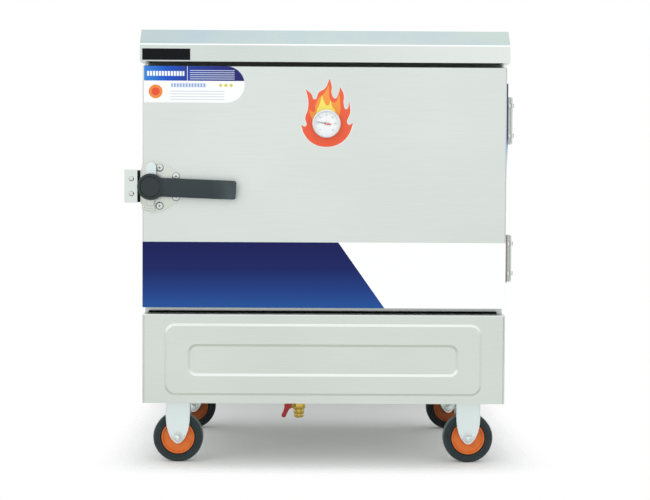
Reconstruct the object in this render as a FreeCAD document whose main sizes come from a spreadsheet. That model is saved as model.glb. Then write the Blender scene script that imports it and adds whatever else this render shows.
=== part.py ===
import FreeCAD, Part
import math
import os
import re
import Sketcher

# Electric rice steamer: a stainless cabinet on four fixed wheels, with one insulated door,
# four trays over a heated water sump, a feed tank with a float valve and a drain valve.
# Millimetres. +X is the viewer's right, the front faces -Y, +Z is up.
# The origin is on the floor, under the middle of the cabinet.

doc = FreeCAD.newDocument("RiceSteamer")
sheet = doc.addObject("Spreadsheet::Sheet", "Sizes")

SIZES = [
    ("cabinet_width", 720, "over the side panels"),
    ("cabinet_depth", 620, "front of the door to the back"),
    ("ground_clearance", 125, "floor to the underside of the base"),
    ("base_height", 177, "front panel of the base"),
    ("base_hem", 20, "flange under the base's front panel"),
    ("door_gap_below", 13, "base to door"),
    ("door_height", 478, ""),
    ("door_thickness", 55, ""),
    ("lip_gap", 8, "door to the top cover's lip"),
    ("lip_height", 33, "upright part of the top cover's front"),
    ("slope_rise", 32, "height of the sloping front of the top cover"),
    ("slope_run", 37, "depth of the sloping front of the top cover"),
    ("cover_overhang", 5, "top cover beyond the cabinet's front and sides"),
    ("cover_hem", 16, "width of the flanges under the top cover's ends"),
    ("panel_sheet", 1.2, "outer sheet steel"),
    ("air_slot_width", 8, "slots at the back of the base"),
    ("air_slot_height", 40, "slots at the back of the base"),
    ("air_slot_lift", 12, "base tray to the slots"),
    ("air_slot_pitch", 30, "from one slot to the next"),
    ("frame_lap", 15, "front frame behind the base's front panel"),
    ("side_flange", 20, "flange under each side panel"),
    ("seal_gap", 7, "door to the front frame, filled by the gasket"),
    ("soft_gap", 0.3, "rest gap between pieces that only touch when pressed"),
    ("chamber_width", 624, "inside"),
    ("chamber_depth", 505, "inside"),
    ("mouth_sill", 30, "door's lower edge to the chamber mouth"),
    ("mouth_height", 407, "chamber mouth"),
    ("mouth_corner", 1.5, "inside bend at the corners of the mouth"),
    ("sump_depth", 105, "mouth's lower edge to the sump floor"),
    ("liner_sheet", 1.5, "inner sheet steel"),
    ("floor_insulation", 20, "under the sump"),
    ("tray_floor_height", 7, "mouth's lower edge to the lowest tray"),
    ("tray_pitch", 92, "from one tray to the next"),
    ("tray_width", 600, "over the rim"),
    ("tray_length", 400, "over the rim"),
    ("tray_depth", 45, ""),
    ("tray_rim", 11, "width of the rim"),
    ("tray_lip", 5, "turned-down edge of the rim"),
    ("tray_sheet", 1, ""),
    ("tray_taper", 6, "degrees, slope of the tray's walls"),
    ("tray_corner", 34, "corner radius of the tray"),
    ("tray_setback", 12, "front frame to the trays"),
    ("rack_post_width", 25, ""),
    ("rack_post_sheet", 2, ""),
    ("rack_runner_width", 20, "chamber wall to the runner's edge"),
    ("rack_runner_height", 16, ""),
    ("rack_runner_sheet", 1.5, ""),
    ("rack_stop_height", 12, "stop behind each tray"),
    ("baffle_sheet", 1.5, ""),
    ("baffle_drop", 8, "mouth's lower edge to the baffle"),
    ("baffle_margin", 6, "clearance round the baffle"),
    ("baffle_leg_width", 25, ""),
    ("baffle_slot_length", 90, ""),
    ("baffle_slot_width", 12, ""),
    ("baffle_slot_gap", 25, "between slots, end to end"),
    ("baffle_slot_margin", 28, "front edge to the first row of slots"),
    ("door_corner", 3, "rounded edges of the door"),
    ("inner_recess", 5, "depth of the pressed field inside the door"),
    ("inner_recess_margin", 70, "door edge to the pressed field"),
    ("gasket_width", 16, ""),
    ("gasket_inset", 6, "chamber mouth to the gasket"),
    ("emboss_depth", 4, "pressed frame on the base panel"),
    ("emboss_margin_x", 44, "panel edge to the pressed frame"),
    ("emboss_margin_z", 16, "panel edge to the pressed frame"),
    ("emboss_frame_x", 48, "width of the pressed frame at its ends"),
    ("emboss_frame_z", 40, "width of the pressed frame above and below"),
    ("emboss_corner", 24, "outer corner radius of the pressed frame"),
    ("emboss_inner_corner", 12, "inner corner radius of the pressed frame"),
    ("emboss_slope", 40, "degrees"),
    ("base_tray_lift", 6, "base tray above the underside of the base"),
    ("base_tray_edge", 25, "upturned edge"),
    ("latch_from_edge", 19, "latch centre from the door's edge"),
    ("latch_height", 239, "latch centre above the door's lower edge"),
    ("latch_plate_radius", 52, ""),
    ("latch_plate_sheet", 3, ""),
    ("latch_nose_reach", 51, "latch centre to the centre of the plate's nose"),
    ("latch_nose_radius", 24, ""),
    ("latch_plate_lap", 4, "plate beyond the door's edge"),
    ("latch_dome_left", 20, "raised band of the plate, left of the latch centre"),
    ("latch_dome_right", 5, "raised band of the plate, right of the latch centre"),
    ("latch_dome_step", 3, "height of each step of the raised band"),
    ("latch_dome_edge", 4, "plate's edge to the first step"),
    ("latch_dome_tread", 5, "width of each step"),
    ("latch_screw_near_x", 15.4, ""),
    ("latch_screw_near_z", 37.5, ""),
    ("latch_screw_far_x", 47.6, ""),
    ("latch_screw_far_z", 20.3, ""),
    ("spindle_radius", 7, ""),
    ("running_clearance", 0.05, "radial, pins and spindles that turn"),
    ("hook_length", 48, ""),
    ("hook_width", 19, ""),
    ("hook_thickness", 6, ""),
    ("lever_boss_radius", 26, ""),
    ("lever_boss_length", 21, ""),
    ("lever_cap_radius", 18.5, ""),
    ("lever_length", 167.5, "latch centre to the lever's end"),
    ("lever_width", 37, ""),
    ("lever_thickness", 13, ""),
    ("lever_bow", 7, "how far the lever bends outward"),
    ("lever_droop", 2.1, "degrees below level at rest"),
    ("keeper_height", 65, ""),
    ("keeper_plate_width", 25.5, ""),
    ("keeper_gap", 8, "door's edge to the keeper's front plate"),
    ("keeper_sheet", 2.5, ""),
    ("keeper_foot", 35, "flange on the cabinet's side"),
    ("keeper_leg_gap", 2, "front frame to the keeper's leg"),
    ("keeper_clearance", 1, "between the hook and the keeper's front plate"),
    ("keeper_rivet_z", 14.7, "rivets above and below the middle"),
    ("thermometer_height", 365, "above the door's lower edge"),
    ("thermometer_offset", 3, "right of the door's middle"),
    ("thermometer_radius", 28, ""),
    ("thermometer_thickness", 11, ""),
    ("pointer_turn", 10.8, "degrees that the pointer's tip stands above level"),
    ("dial_radius", 25, ""),
    ("stem_radius", 4, "thermometer probe"),
    ("stem_reach", 50, "probe inside the chamber"),
    ("hinge_height", 91, ""),
    ("hinge_upper", 375, "upper hinge centre above the door's lower edge"),
    ("hinge_lower", 98.5, "lower hinge centre above the door's lower edge"),
    ("hinge_leaf_width", 32, ""),
    ("hinge_leaf_sheet", 2.5, ""),
    ("hinge_offset", 10.5, "pin axis outside the cabinet's side"),
    ("hinge_barrel_radius", 7, ""),
    ("hinge_pin_radius", 3, ""),
    ("hinge_knuckle", 51, "middle knuckle"),
    ("hinge_collar_radius", 10.3, ""),
    ("hinge_collar_height", 8, ""),
    ("screw_head_radius", 5, ""),
    ("screw_head_height", 3, ""),
    ("screw_radius", 2, ""),
    ("plate_screw_head_radius", 7.2, ""),
    ("wheel_radius", 50, ""),
    ("wheel_width", 32, ""),
    ("wheel_centre_radius", 34, ""),
    ("wheel_hub_radius", 13, ""),
    ("wheel_hub_proud", 2, "hub beyond the tyre's wall"),
    ("wheel_dish", 4, "depth of the dish round the hub"),
    ("wheel_rim", 3, "flat rim round the dish"),
    ("tyre_bead", 4, "flat ring beside the wheel centre"),
    ("tyre_groove", 4, "width of the groove in the tyre's wall"),
    ("tyre_groove_depth", 1, ""),
    ("tyre_shoulder", 5, "radius"),
    ("wheel_inset_x", 67.5, "wheel centre from the cabinet's side"),
    ("wheel_inset_y", 66, "axle middle from the cabinet's front and back"),
    ("fork_sheet", 2.5, ""),
    ("fork_gap", 38, "inside the fork"),
    ("fork_width", 48, ""),
    ("fork_tip_radius", 12, ""),
    ("fork_taper_height", 36, "axle to the start of the taper"),
    ("caster_plate_length", 104, ""),
    ("caster_plate_width", 80, ""),
    ("caster_bolt_x", 80, "bolt spacing"),
    ("caster_bolt_y", 58, "bolt spacing"),
    ("caster_bolt_radius", 4, ""),
    ("axle_radius", 5, ""),
    ("axle_nut_radius", 9, ""),
    ("axle_nut_height", 6, ""),
    ("drain_x", -50, "drain right of the middle"),
    ("drain_y", -10, "drain behind the middle"),
    ("drain_pipe_radius", 10.5, ""),
    ("drain_bore_radius", 7.5, ""),
    ("valve_height", 85, "valve centre above the floor"),
    ("valve_half_length", 27, ""),
    ("valve_hex_radius", 13.8, "across corners"),
    ("valve_barrel_radius", 12, ""),
    ("outlet_thread_radius", 9.3, ""),
    ("outlet_thread_length", 14, ""),
    ("valve_stem_radius", 4, ""),
    ("valve_stem_reach", 32, "valve axis to the stem's end"),
    ("valve_wing_span", 25, "valve axis to a wing's tip"),
    ("valve_wing_width", 15, ""),
    ("valve_wing_sheet", 2, ""),
    ("heater_radius", 6, ""),
    ("heater_bend_radius", 23, ""),
    ("heater_lift", 24, "element above the sump floor"),
    ("heater_spacing", 130, ""),
    ("heater_middle_x", 60, ""),
    ("heater_front_gap", 60, "element to the front of the sump"),
    ("heater_flange_thickness", 5, ""),
    ("terminal_reach", 14, "terminals beyond the back panel"),
    ("cover_width", 420, "terminal cover"),
    ("cover_height", 95, "terminal cover"),
    ("cover_depth", 38, "terminal cover"),
    ("gland_radius", 12, ""),
    ("gland_bore_radius", 6.5, ""),
    ("gland_length", 30, ""),
    ("tank_width", 150, "feed tank"),
    ("tank_depth", 90, "feed tank"),
    ("tank_height", 140, "feed tank"),
    ("tank_sheet", 1.5, "feed tank"),
    ("tank_from_side", 105, "feed tank's middle to the cabinet's left side"),
    ("tank_drop", 8, "feed tank floor below the sump floor"),
    ("lid_skirt", 10, ""),
    ("lid_ear", 8, "depth of the lid's ears below the tank's rim"),
    ("lid_pin_radius", 2, ""),
    ("lid_barrel_radius", 4, ""),
    ("inlet_thread_radius", 10.4, ""),
    ("inlet_thread_length", 26, ""),
    ("inlet_drop", 30, "tank rim to the float valve"),
    ("valve_cheek_sheet", 3, "fork that holds the float's arm"),
    ("valve_cheek_gap", 8, "inside the fork"),
    ("valve_cheek_height", 11, ""),
    ("valve_nut_height", 5, "nut and collar on the tank's wall"),
    ("float_pivot_reach", 24, "tank wall to the float's pivot"),
    ("float_radius", 26, ""),
    ("float_arm_radius", 2.5, ""),
    ("float_arm_length", 62, "pivot to the ball's centre"),
    ("float_slope", 32, "degrees below level with the tank empty"),
    ("link_radius", 9, ""),
    ("link_bore_radius", 7, ""),
    ("link_lift", 22, "link pipe above the sump floor"),
    ("link_nut_radius", 15, ""),
    ("link_nut_height", 5, ""),
    ("vent_radius", 12.5, ""),
    ("vent_bore_radius", 11, ""),
    ("vent_from_side", 75, "vent pipe to the cabinet's right side"),
    ("vent_drop", 32, "chamber ceiling to the vent pipe"),
    ("vent_bend", 24, ""),
    ("vent_tail", 34, ""),
    ("vent_reach", 12, "back panel to the vent's bend"),
    ("hole_clearance", 0.3, "radial, round pipes and screws"),
]

for row, (alias, number, meaning) in enumerate(SIZES, 1):
    sheet.set(f"A{row}", alias)
    sheet.set(f"B{row}", str(number))
    sheet.set(f"C{row}", meaning)
    sheet.setAlias(f"B{row}", alias)
doc.recompute()

ALIASES = {alias for alias, number, meaning in SIZES}
X_AXIS = FreeCAD.Vector(1, 0, 0)
Y_AXIS = FreeCAD.Vector(0, 1, 0)
Z_AXIS = FreeCAD.Vector(0, 0, 1)

# Turns that lay a piece's own Z axis along another direction.
FORWARD = FreeCAD.Rotation(X_AXIS, 90)
BACKWARD = FreeCAD.Rotation(X_AXIS, -90)
RIGHT = FreeCAD.Rotation(Y_AXIS, 90)
LEFT = FreeCAD.Rotation(Y_AXIS, -90)
UP = FreeCAD.Rotation()


def in_cells(formula):
    """Point each size name in a formula at its cell."""
    return re.sub(r"[a-z][a-z_]+", lambda word: cell_of(word.group(0)), str(formula))


def cell_of(word):
    return f"Sizes.{word}" if word in ALIASES else word


def value(formula):
    """What a formula of size names comes to now."""
    return float(sheet.evalExpression(in_cells(formula)))


def tie(item, prop, formula):
    item.setExpression(prop, in_cells(formula))


def minus(formula):
    return f"(0 - ({formula}))"


# Places that many pieces share.
SIDE = "(cabinet_width / 2)"
INNER_SIDE = "(cabinet_width / 2 - panel_sheet)"
FRONT = "(0 - cabinet_depth / 2)"
BACK = "(cabinet_depth / 2)"
BACK_FACE = "(cabinet_depth / 2 - panel_sheet)"
BACK_INNER = "(cabinet_depth / 2 - 2 * panel_sheet)"
DOOR_BACK = f"({FRONT} + door_thickness)"
FRAME_FACE = f"({DOOR_BACK} + seal_gap)"
FRAME_BACK = f"({FRAME_FACE} + panel_sheet)"
BASE_TOP = "(ground_clearance + base_height)"
DOOR_BOTTOM = f"({BASE_TOP} + door_gap_below)"
DOOR_TOP = f"({DOOR_BOTTOM} + door_height)"
LIP_BOTTOM = f"({DOOR_TOP} + lip_gap)"
CREASE = f"({LIP_BOTTOM} + lip_height)"
TOP = f"({CREASE} + slope_rise)"
UNDER_TOP = f"({TOP} - panel_sheet)"
MOUTH_BOTTOM = f"({DOOR_BOTTOM} + mouth_sill)"
MOUTH_TOP = f"({MOUTH_BOTTOM} + mouth_height)"
CHAMBER_SIDE = "(chamber_width / 2)"
CHAMBER_BACK = f"({FRAME_BACK} + chamber_depth)"
LINER_BACK = f"({CHAMBER_BACK} + liner_sheet)"
SUMP_FLOOR = f"({MOUTH_BOTTOM} - sump_depth)"
LINER_FLOOR = f"({SUMP_FLOOR} - liner_sheet)"
TRAY_FRONT = f"({FRAME_FACE} + tray_setback)"
BASE_FLOOR = "(ground_clearance + base_tray_lift)"


def plane_of(body, role):
    return [item for item in body.Origin.OriginFeatures if item.Role == role][0]


def new_body(label):
    body = doc.addObject("PartDesign::Body", label)
    body.Label = label
    return body


def new_sketch(body, role, level="0"):
    """A sketch parallel to an origin plane, at a level along that plane's world axis."""
    sketch = body.newObject("Sketcher::SketchObject", body.Label + "_sketch")
    sketch.AttachmentSupport = [(plane_of(body, role), "")]
    sketch.MapMode = "FlatFace"
    offset = minus(level) if role == "XZ_Plane" else level
    tie(sketch, "AttachmentOffset.Base.z", offset)
    return sketch


def hold(sketch, held):
    """Add constraints at once. Each comes as a constraint and the formula it follows, or None."""
    first = sketch.ConstraintCount
    sketch.addConstraint([constraint for constraint, formula in held])
    for place, (constraint, formula) in enumerate(held, first):
        if formula is not None:
            tie(sketch, f"Constraints[{place}]", formula)


def pins(geometry, end, point):
    """Constraints that hold one end of a line or arc at a point given by two formulas."""
    return [
        (Sketcher.Constraint(kind, -1, 1, geometry, end, value(formula)), formula)
        for kind, formula in zip(("DistanceX", "DistanceY"), point)
    ]


def arc_between(start, end, radius, turn):
    """The short arc from start to end that turns left (1) or right (-1)."""
    middle = (start + end) * 0.5
    chord = end - start
    across = FreeCAD.Vector(-chord.y, chord.x, 0).normalize()
    height = math.sqrt(max(radius ** 2 - (chord.Length / 2) ** 2, 0))
    centre = middle + across * height * turn
    first, last = (start, end) if turn > 0 else (end, start)
    angles = [math.atan2(point.y - centre.y, point.x - centre.x) for point in (first, last)]
    return Part.ArcOfCircle(Part.Circle(centre, Z_AXIS, radius), angles[0], angles[1])


def draw(sketch, steps):
    """Add one closed outline. A step is (x, y), or (x, y, radius, turn) for an arc to that point."""
    points = [FreeCAD.Vector(value(step[0]), value(step[1]), 0) for step in steps]
    ends = []
    for place, step in enumerate(steps):
        start, end = points[place - 1], points[place]
        if len(step) == 2:
            index = sketch.addGeometry(Part.LineSegment(start, end), False)
            ends.append((index, 1, 2))
        else:
            index = sketch.addGeometry(arc_between(start, end, value(step[2]), step[3]), False)
            ends.append((index, 1, 2) if step[3] > 0 else (index, 2, 1))
    held = []
    for place, (index, start, end) in enumerate(ends):
        following = ends[(place + 1) % len(ends)]
        held.append((Sketcher.Constraint("Coincident", index, end, following[0], following[1]), None))
        held += pins(index, end, steps[place][:2])
        if len(steps[place]) == 4:
            radius = steps[place][2]
            held.append((Sketcher.Constraint("Radius", index, value(radius)), radius))
    hold(sketch, held)


def draw_circle(sketch, x, y, radius):
    centre = FreeCAD.Vector(value(x), value(y), 0)
    index = sketch.addGeometry(Part.Circle(centre, Z_AXIS, value(radius)), False)
    hold(sketch, pins(index, 3, (x, y)) + [(Sketcher.Constraint("Radius", index, value(radius)), radius)])


def rectangle(x, y):
    """Corners of a rectangle between two formulas each way."""
    return [(x[0], y[0]), (x[1], y[0]), (x[1], y[1]), (x[0], y[1])]


def rounded_rectangle(x, y, radius):
    """Steps of a rectangle with round corners, between two formulas each way."""
    left, right = f"{x[0]} + ({radius})", f"{x[1]} - ({radius})"
    low, high = f"{y[0]} + ({radius})", f"{y[1]} - ({radius})"
    return [
        (right, y[0]),
        (x[1], low, radius, 1),
        (x[1], high),
        (right, y[1], radius, 1),
        (left, y[1]),
        (x[0], high, radius, 1),
        (x[0], low),
        (left, y[0], radius, 1),
    ]


def about_middle(half):
    return (minus(half), half)


def extrude(kind, body, sketch, length, backward=False, taper=None):
    feature = body.newObject(kind, sketch.Label + "_solid")
    feature.Profile = sketch
    tie(feature, "Length", length)
    feature.Reversed = backward
    if taper is not None:
        tie(feature, "TaperAngle", taper)
    doc.recompute()
    return feature


def pad(body, sketch, length, backward=False, taper=None):
    return extrude("PartDesign::Pad", body, sketch, length, backward, taper)


def pocket(body, sketch, length, backward=False, taper=None):
    """Cut a pocket and make sure that it took material away."""
    before = body.Shape.Volume
    feature = extrude("PartDesign::Pocket", body, sketch, length, backward, taper)
    if not body.Shape.Volume < before - 1e-6:
        raise ValueError(f"a pocket of {body.Label} cuts nothing")
    return feature


def pad_outline(body, role, level, steps, length, backward=False, taper=None):
    sketch = new_sketch(body, role, level)
    draw(sketch, steps)
    return pad(body, sketch, length, backward, taper)


def pocket_outline(body, role, level, steps, length, backward=False, taper=None):
    sketch = new_sketch(body, role, level)
    draw(sketch, steps)
    return pocket(body, sketch, length, backward, taper)


def drill(body, role, level, centres, radius, length, backward=False):
    sketch = new_sketch(body, role, level)
    for x, y in centres:
        draw_circle(sketch, x, y, radius)
    return pocket(body, sketch, length, backward)


def edge_names(feature, test):
    return [f"Edge{place}" for place, edge in enumerate(feature.Shape.Edges, 1) if test(edge)]


def face_names(feature, test):
    return [f"Face{place}" for place, face in enumerate(feature.Shape.Faces, 1) if test(face)]


def runs_along(edge, axis):
    """True for a straight edge parallel to an axis."""
    if not isinstance(edge.Curve, Part.Line):
        return False
    return abs(edge.tangentAt(edge.FirstParameter).dot(axis)) > 0.9999


def looks_along(face, direction):
    """True for a flat face whose outward normal is a direction."""
    if not isinstance(face.Surface, Part.Plane):
        return False
    return face.normalAt(0, 0).dot(direction) > 0.999


def round_edges(body, feature, radius, test):
    names = edge_names(feature, test)
    rounded = body.newObject("PartDesign::Fillet", body.Label + "_round")
    rounded.Base = (feature, names)
    tie(rounded, "Radius", radius)
    doc.recompute()
    return rounded


def hollow(body, feature, thickness, direction):
    """Turn a solid into a shell of that thickness, open on the faces that look one way."""
    names = face_names(feature, lambda face: looks_along(face, direction))
    shell = body.newObject("PartDesign::Thickness", body.Label + "_shell")
    shell.Base = (feature, names)
    tie(shell, "Value", thickness)
    shell.Reversed = True
    shell.Join = 1
    doc.recompute()
    return shell


def slope_sides(body, feature, angle, direction):
    """Slope the faces round a block, from its flat face that looks one way."""
    sides = face_names(feature, lambda face: abs(face.normalAt(0, 0).dot(direction)) < 0.01)
    neutral = face_names(feature, lambda face: looks_along(face, direction))
    sloped = body.newObject("PartDesign::Draft", body.Label + "_slope")
    sloped.Base = (feature, sides)
    sloped.NeutralPlane = (feature, neutral[:1])
    tie(sloped, "Angle", angle)
    sloped.Reversed = True
    doc.recompute()
    return sloped


def rounded_block(x, y, z, radius):
    """A box whose front edges, and the four that run front to back, are rounded."""
    body = new_body("rounded_block")
    solid = pad_outline(body, "XZ_Plane", y[0], rectangle(x, z), f"({y[1]}) - ({y[0]})", backward=True)
    front = value(y[0]) + 0.1
    round_edges(body, solid, radius, lambda edge: runs_along(edge, Y_AXIS) or edge.BoundBox.YMax < front)
    return body


def place(item, at, turn=UP):
    item.Placement = FreeCAD.Placement(FreeCAD.Vector(0, 0, 0), turn)
    for letter, formula in zip("xyz", at):
        tie(item, f"Placement.Base.{letter}", formula)
    doc.recompute()
    return item


def turned(label, profile, at=("0", "0", "0"), turn=UP):
    """A solid of revolution about its own Z axis. The profile gives radius and height."""
    body = new_body(label)
    sketch = new_sketch(body, "XZ_Plane")
    draw(sketch, profile)
    revolution = body.newObject("PartDesign::Revolution", label + "_turn")
    revolution.Profile = sketch
    revolution.ReferenceAxis = (sketch, ["V_Axis"])
    revolution.Angle = 360
    return place(body, at, turn)


def block(x, y, z):
    """A box between two formulas each way."""
    box = doc.addObject("Part::Box", "block")
    for (low, high), prop, letter in zip((x, y, z), ("Length", "Width", "Height"), "xyz"):
        tie(box, prop, f"({high}) - ({low})")
        tie(box, f"Placement.Base.{letter}", low)
    return box


TURNS = {"x": RIGHT, "y": BACKWARD, "z": UP}


def rod(axis, radius, span, centre):
    """A cylinder along an axis, between two formulas, centred on two more."""
    cylinder = doc.addObject("Part::Cylinder", "rod")
    tie(cylinder, "Radius", radius)
    tie(cylinder, "Height", f"({span[1]}) - ({span[0]})")
    cylinder.Placement = FreeCAD.Placement(FreeCAD.Vector(0, 0, 0), TURNS[axis])
    formulas = list(centre)
    formulas.insert("xyz".index(axis), span[0])
    for letter, formula in zip("xyz", formulas):
        tie(cylinder, f"Placement.Base.{letter}", formula)
    return cylinder


def hexagon(axis, radius, span, centre):
    """A hexagonal prism along an axis, sized across its corners."""
    prism = doc.addObject("Part::Prism", "hexagon")
    prism.Polygon = 6
    tie(prism, "Circumradius", radius)
    tie(prism, "Height", f"({span[1]}) - ({span[0]})")
    prism.Placement = FreeCAD.Placement(FreeCAD.Vector(0, 0, 0), TURNS[axis])
    formulas = list(centre)
    formulas.insert("xyz".index(axis), span[0])
    for letter, formula in zip("xyz", formulas):
        tie(prism, f"Placement.Base.{letter}", formula)
    return prism


def fuse(label, items):
    joined = doc.addObject("Part::MultiFuse", label)
    joined.Label = label
    joined.Shapes = items
    joined.Refine = True
    doc.recompute()
    return joined


def group(label, items):
    """Several separate solids under one name."""
    compound = doc.addObject("Part::Compound", label)
    compound.Label = label
    compound.Links = items
    doc.recompute()
    return compound


def cut(label, base, tools):
    tool = tools[0] if len(tools) == 1 else group(label + "_tools", tools)
    rest = doc.addObject("Part::Cut", label)
    rest.Label = label
    rest.Base = base
    rest.Tool = tool
    rest.Refine = True
    doc.recompute()
    return rest


def common(label, items):
    shared = doc.addObject("Part::MultiCommon", label)
    shared.Label = label
    shared.Shapes = items
    shared.Refine = True
    doc.recompute()
    return shared


def screw(at, turn, head_radius="screw_head_radius", grip="hinge_leaf_sheet"):
    """A pan-head screw. Its head stands on the point, its shank goes the other way."""
    profile = [
        ("0", minus(grip)),
        ("screw_radius", minus(grip)),
        ("screw_radius", "0"),
        (head_radius, "0"),
        (head_radius, "screw_head_height * 0.4"),
        (f"{head_radius} * 0.72", "screw_head_height"),
        ("0", "screw_head_height"),
    ]
    return turned("screw", profile, at, turn)


PARTS = {}


def keep(label, item):
    """List a finished piece under its own name."""
    item.Label = label
    PARTS[label] = item
    return item


# Cabinet shell

def top_cover():
    """Folded cover with a sloping front, hollow below, with flanges under its ends."""
    body = new_body("top_cover")
    edge = f"({SIDE} + cover_overhang)"
    nose = f"({FRONT} - cover_overhang)"
    section = [
        (nose, LIP_BOTTOM),
        (BACK, LIP_BOTTOM),
        (BACK, TOP),
        (f"{nose} + slope_run", TOP),
        (nose, CREASE),
    ]
    solid = pad_outline(body, "YZ_Plane", minus(edge), section, f"2 * {edge}")
    hollow(body, solid, "panel_sheet", FreeCAD.Vector(0, 0, -1))
    inner = f"({edge} - cover_hem)"
    hem = f"({nose} + cover_hem / 2)"
    flange = [
        (minus(edge), nose),
        (edge, nose),
        (edge, BACK),
        (SIDE, BACK),
        (SIDE, FRAME_FACE),
        (inner, FRAME_FACE),
        (inner, hem),
        (minus(inner), hem),
        (minus(inner), FRAME_FACE),
        (minus(SIDE), FRAME_FACE),
        (minus(SIDE), BACK),
        (minus(edge), BACK),
    ]
    pad_outline(body, "XY_Plane", LIP_BOTTOM, flange, "panel_sheet")
    keep("top_cover", body)


def side_panel(label, sign):
    """Side sheet with a flange turned in along its lower edge."""
    body = new_body(label)

    def across(formula):
        return formula if sign > 0 else minus(formula)

    section = [
        (across(f"{SIDE} - side_flange"), "ground_clearance"),
        (across(SIDE), "ground_clearance"),
        (across(SIDE), UNDER_TOP),
        (across(INNER_SIDE), UNDER_TOP),
        (across(INNER_SIDE), "ground_clearance + panel_sheet"),
        (across(f"{SIDE} - side_flange"), "ground_clearance + panel_sheet"),
    ]
    pad_outline(body, "XZ_Plane", FRAME_FACE, section, f"{BACK_FACE} - {FRAME_FACE}", backward=True)
    return body


HINGE_X = f"({SIDE} + hinge_offset)"
HINGE_Y = f"(({DOOR_BACK} + {FRAME_FACE}) / 2)"
HINGE_LEVELS = [f"({DOOR_BOTTOM} + hinge_upper)", f"({DOOR_BOTTOM} + hinge_lower)"]
LEAF_START = f"({HINGE_Y} + hinge_barrel_radius + 3 * running_clearance)"
HINGE_SCREW_Z = "(hinge_height / 3)"
KEEPER_LEG = f"({FRAME_FACE} + keeper_leg_gap)"
KEEPER_SCREW_Y = f"({KEEPER_LEG} + keeper_sheet + keeper_foot * 0.62)"
LATCH_X = f"(latch_from_edge - {SIDE})"
LATCH_Z = f"({DOOR_BOTTOM} + latch_height)"
KEEPER_Z = f"({LATCH_Z} + 1)"


def side_panels():
    left = side_panel("left_side_panel", -1)
    holes = [(KEEPER_SCREW_Y, f"{KEEPER_Z} + {step} * keeper_height / 4") for step in (-1, 1)]
    drill(left, "YZ_Plane", minus(INNER_SIDE), holes, "screw_radius", "panel_sheet")
    keep("left_side_panel", left)
    right = side_panel("right_side_panel", 1)
    holes = [
        (f"{LEAF_START} + hinge_leaf_width * 0.55", f"{level} + {step} * {HINGE_SCREW_Z}")
        for level in HINGE_LEVELS for step in (-1, 1)
    ]
    drill(right, "YZ_Plane", SIDE, holes, "screw_radius", "panel_sheet")
    keep("right_side_panel", right)


TANK_X = "(tank_from_side - cabinet_width / 2)"
VENT_X = "(cabinet_width / 2 - vent_from_side)"
LINK_Z = f"({SUMP_FLOOR} + link_lift)"
VENT_Z = f"({MOUTH_TOP} - vent_drop)"
HEATER_Z = f"({SUMP_FLOOR} + heater_lift)"
HEATER_XS = [f"(heater_middle_x + {step} * heater_spacing)" for step in (-1, 0, 1)]
LINK_HOLE = "link_radius + hole_clearance"
VENT_HOLE = "vent_radius + hole_clearance"
COVER_BOTTOM = f"({HEATER_Z} - cover_height / 2)"
COVER_TOP = f"({HEATER_Z} + cover_height / 2)"
WIRING_X = (
    "heater_middle_x - heater_spacing - 2 * heater_bend_radius",
    "heater_middle_x + heater_spacing + 2 * heater_bend_radius",
)
WIRING_Z = (f"{HEATER_Z} - heater_bend_radius", f"{HEATER_Z} + heater_bend_radius")


def back_panel():
    """Back sheet with a wiring window, pipe holes and a row of air slots for the base."""
    body = new_body("back_panel")
    outline = rectangle((minus(INNER_SIDE), INNER_SIDE), ("ground_clearance + panel_sheet", UNDER_TOP))
    pad_outline(body, "XZ_Plane", BACK_INNER, outline, "panel_sheet", backward=True)
    sketch = new_sketch(body, "XZ_Plane", BACK_INNER)
    draw(sketch, rectangle(WIRING_X, WIRING_Z))
    draw_circle(sketch, TANK_X, LINK_Z, LINK_HOLE)
    draw_circle(sketch, VENT_X, VENT_Z, VENT_HOLE)
    pocket(body, sketch, "panel_sheet")
    sketch = new_sketch(body, "XZ_Plane", BACK_INNER)
    for slot in range(-4, 5):
        middle = f"({slot} * air_slot_pitch)"
        across = (f"{middle} - air_slot_width / 2", f"{middle} + air_slot_width / 2")
        low = f"{BASE_FLOOR} + air_slot_lift"
        draw(sketch, rectangle(across, (low, f"{low} + air_slot_height")))
    pocket(body, sketch, "panel_sheet")
    keep("back_panel", body)


def front_frame():
    """Flat steel frame round the chamber mouth, which the gasket presses on."""
    body = new_body("front_frame")
    outline = rectangle((minus(INNER_SIDE), INNER_SIDE), (f"{BASE_TOP} - frame_lap", UNDER_TOP))
    pad_outline(body, "XZ_Plane", FRAME_BACK, outline, "panel_sheet")
    mouth = rectangle((minus(CHAMBER_SIDE), CHAMBER_SIDE), (MOUTH_BOTTOM, MOUTH_TOP))
    opening = pocket_outline(body, "XZ_Plane", FRAME_FACE, mouth, "panel_sheet")

    def mouth_corner(edge):
        middle = edge.CenterOfMass
        inside = abs(middle.x) < value(CHAMBER_SIDE) + 1
        return runs_along(edge, Y_AXIS) and inside

    round_edges(body, opening, "mouth_corner", mouth_corner)
    keep("front_frame", body)


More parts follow.
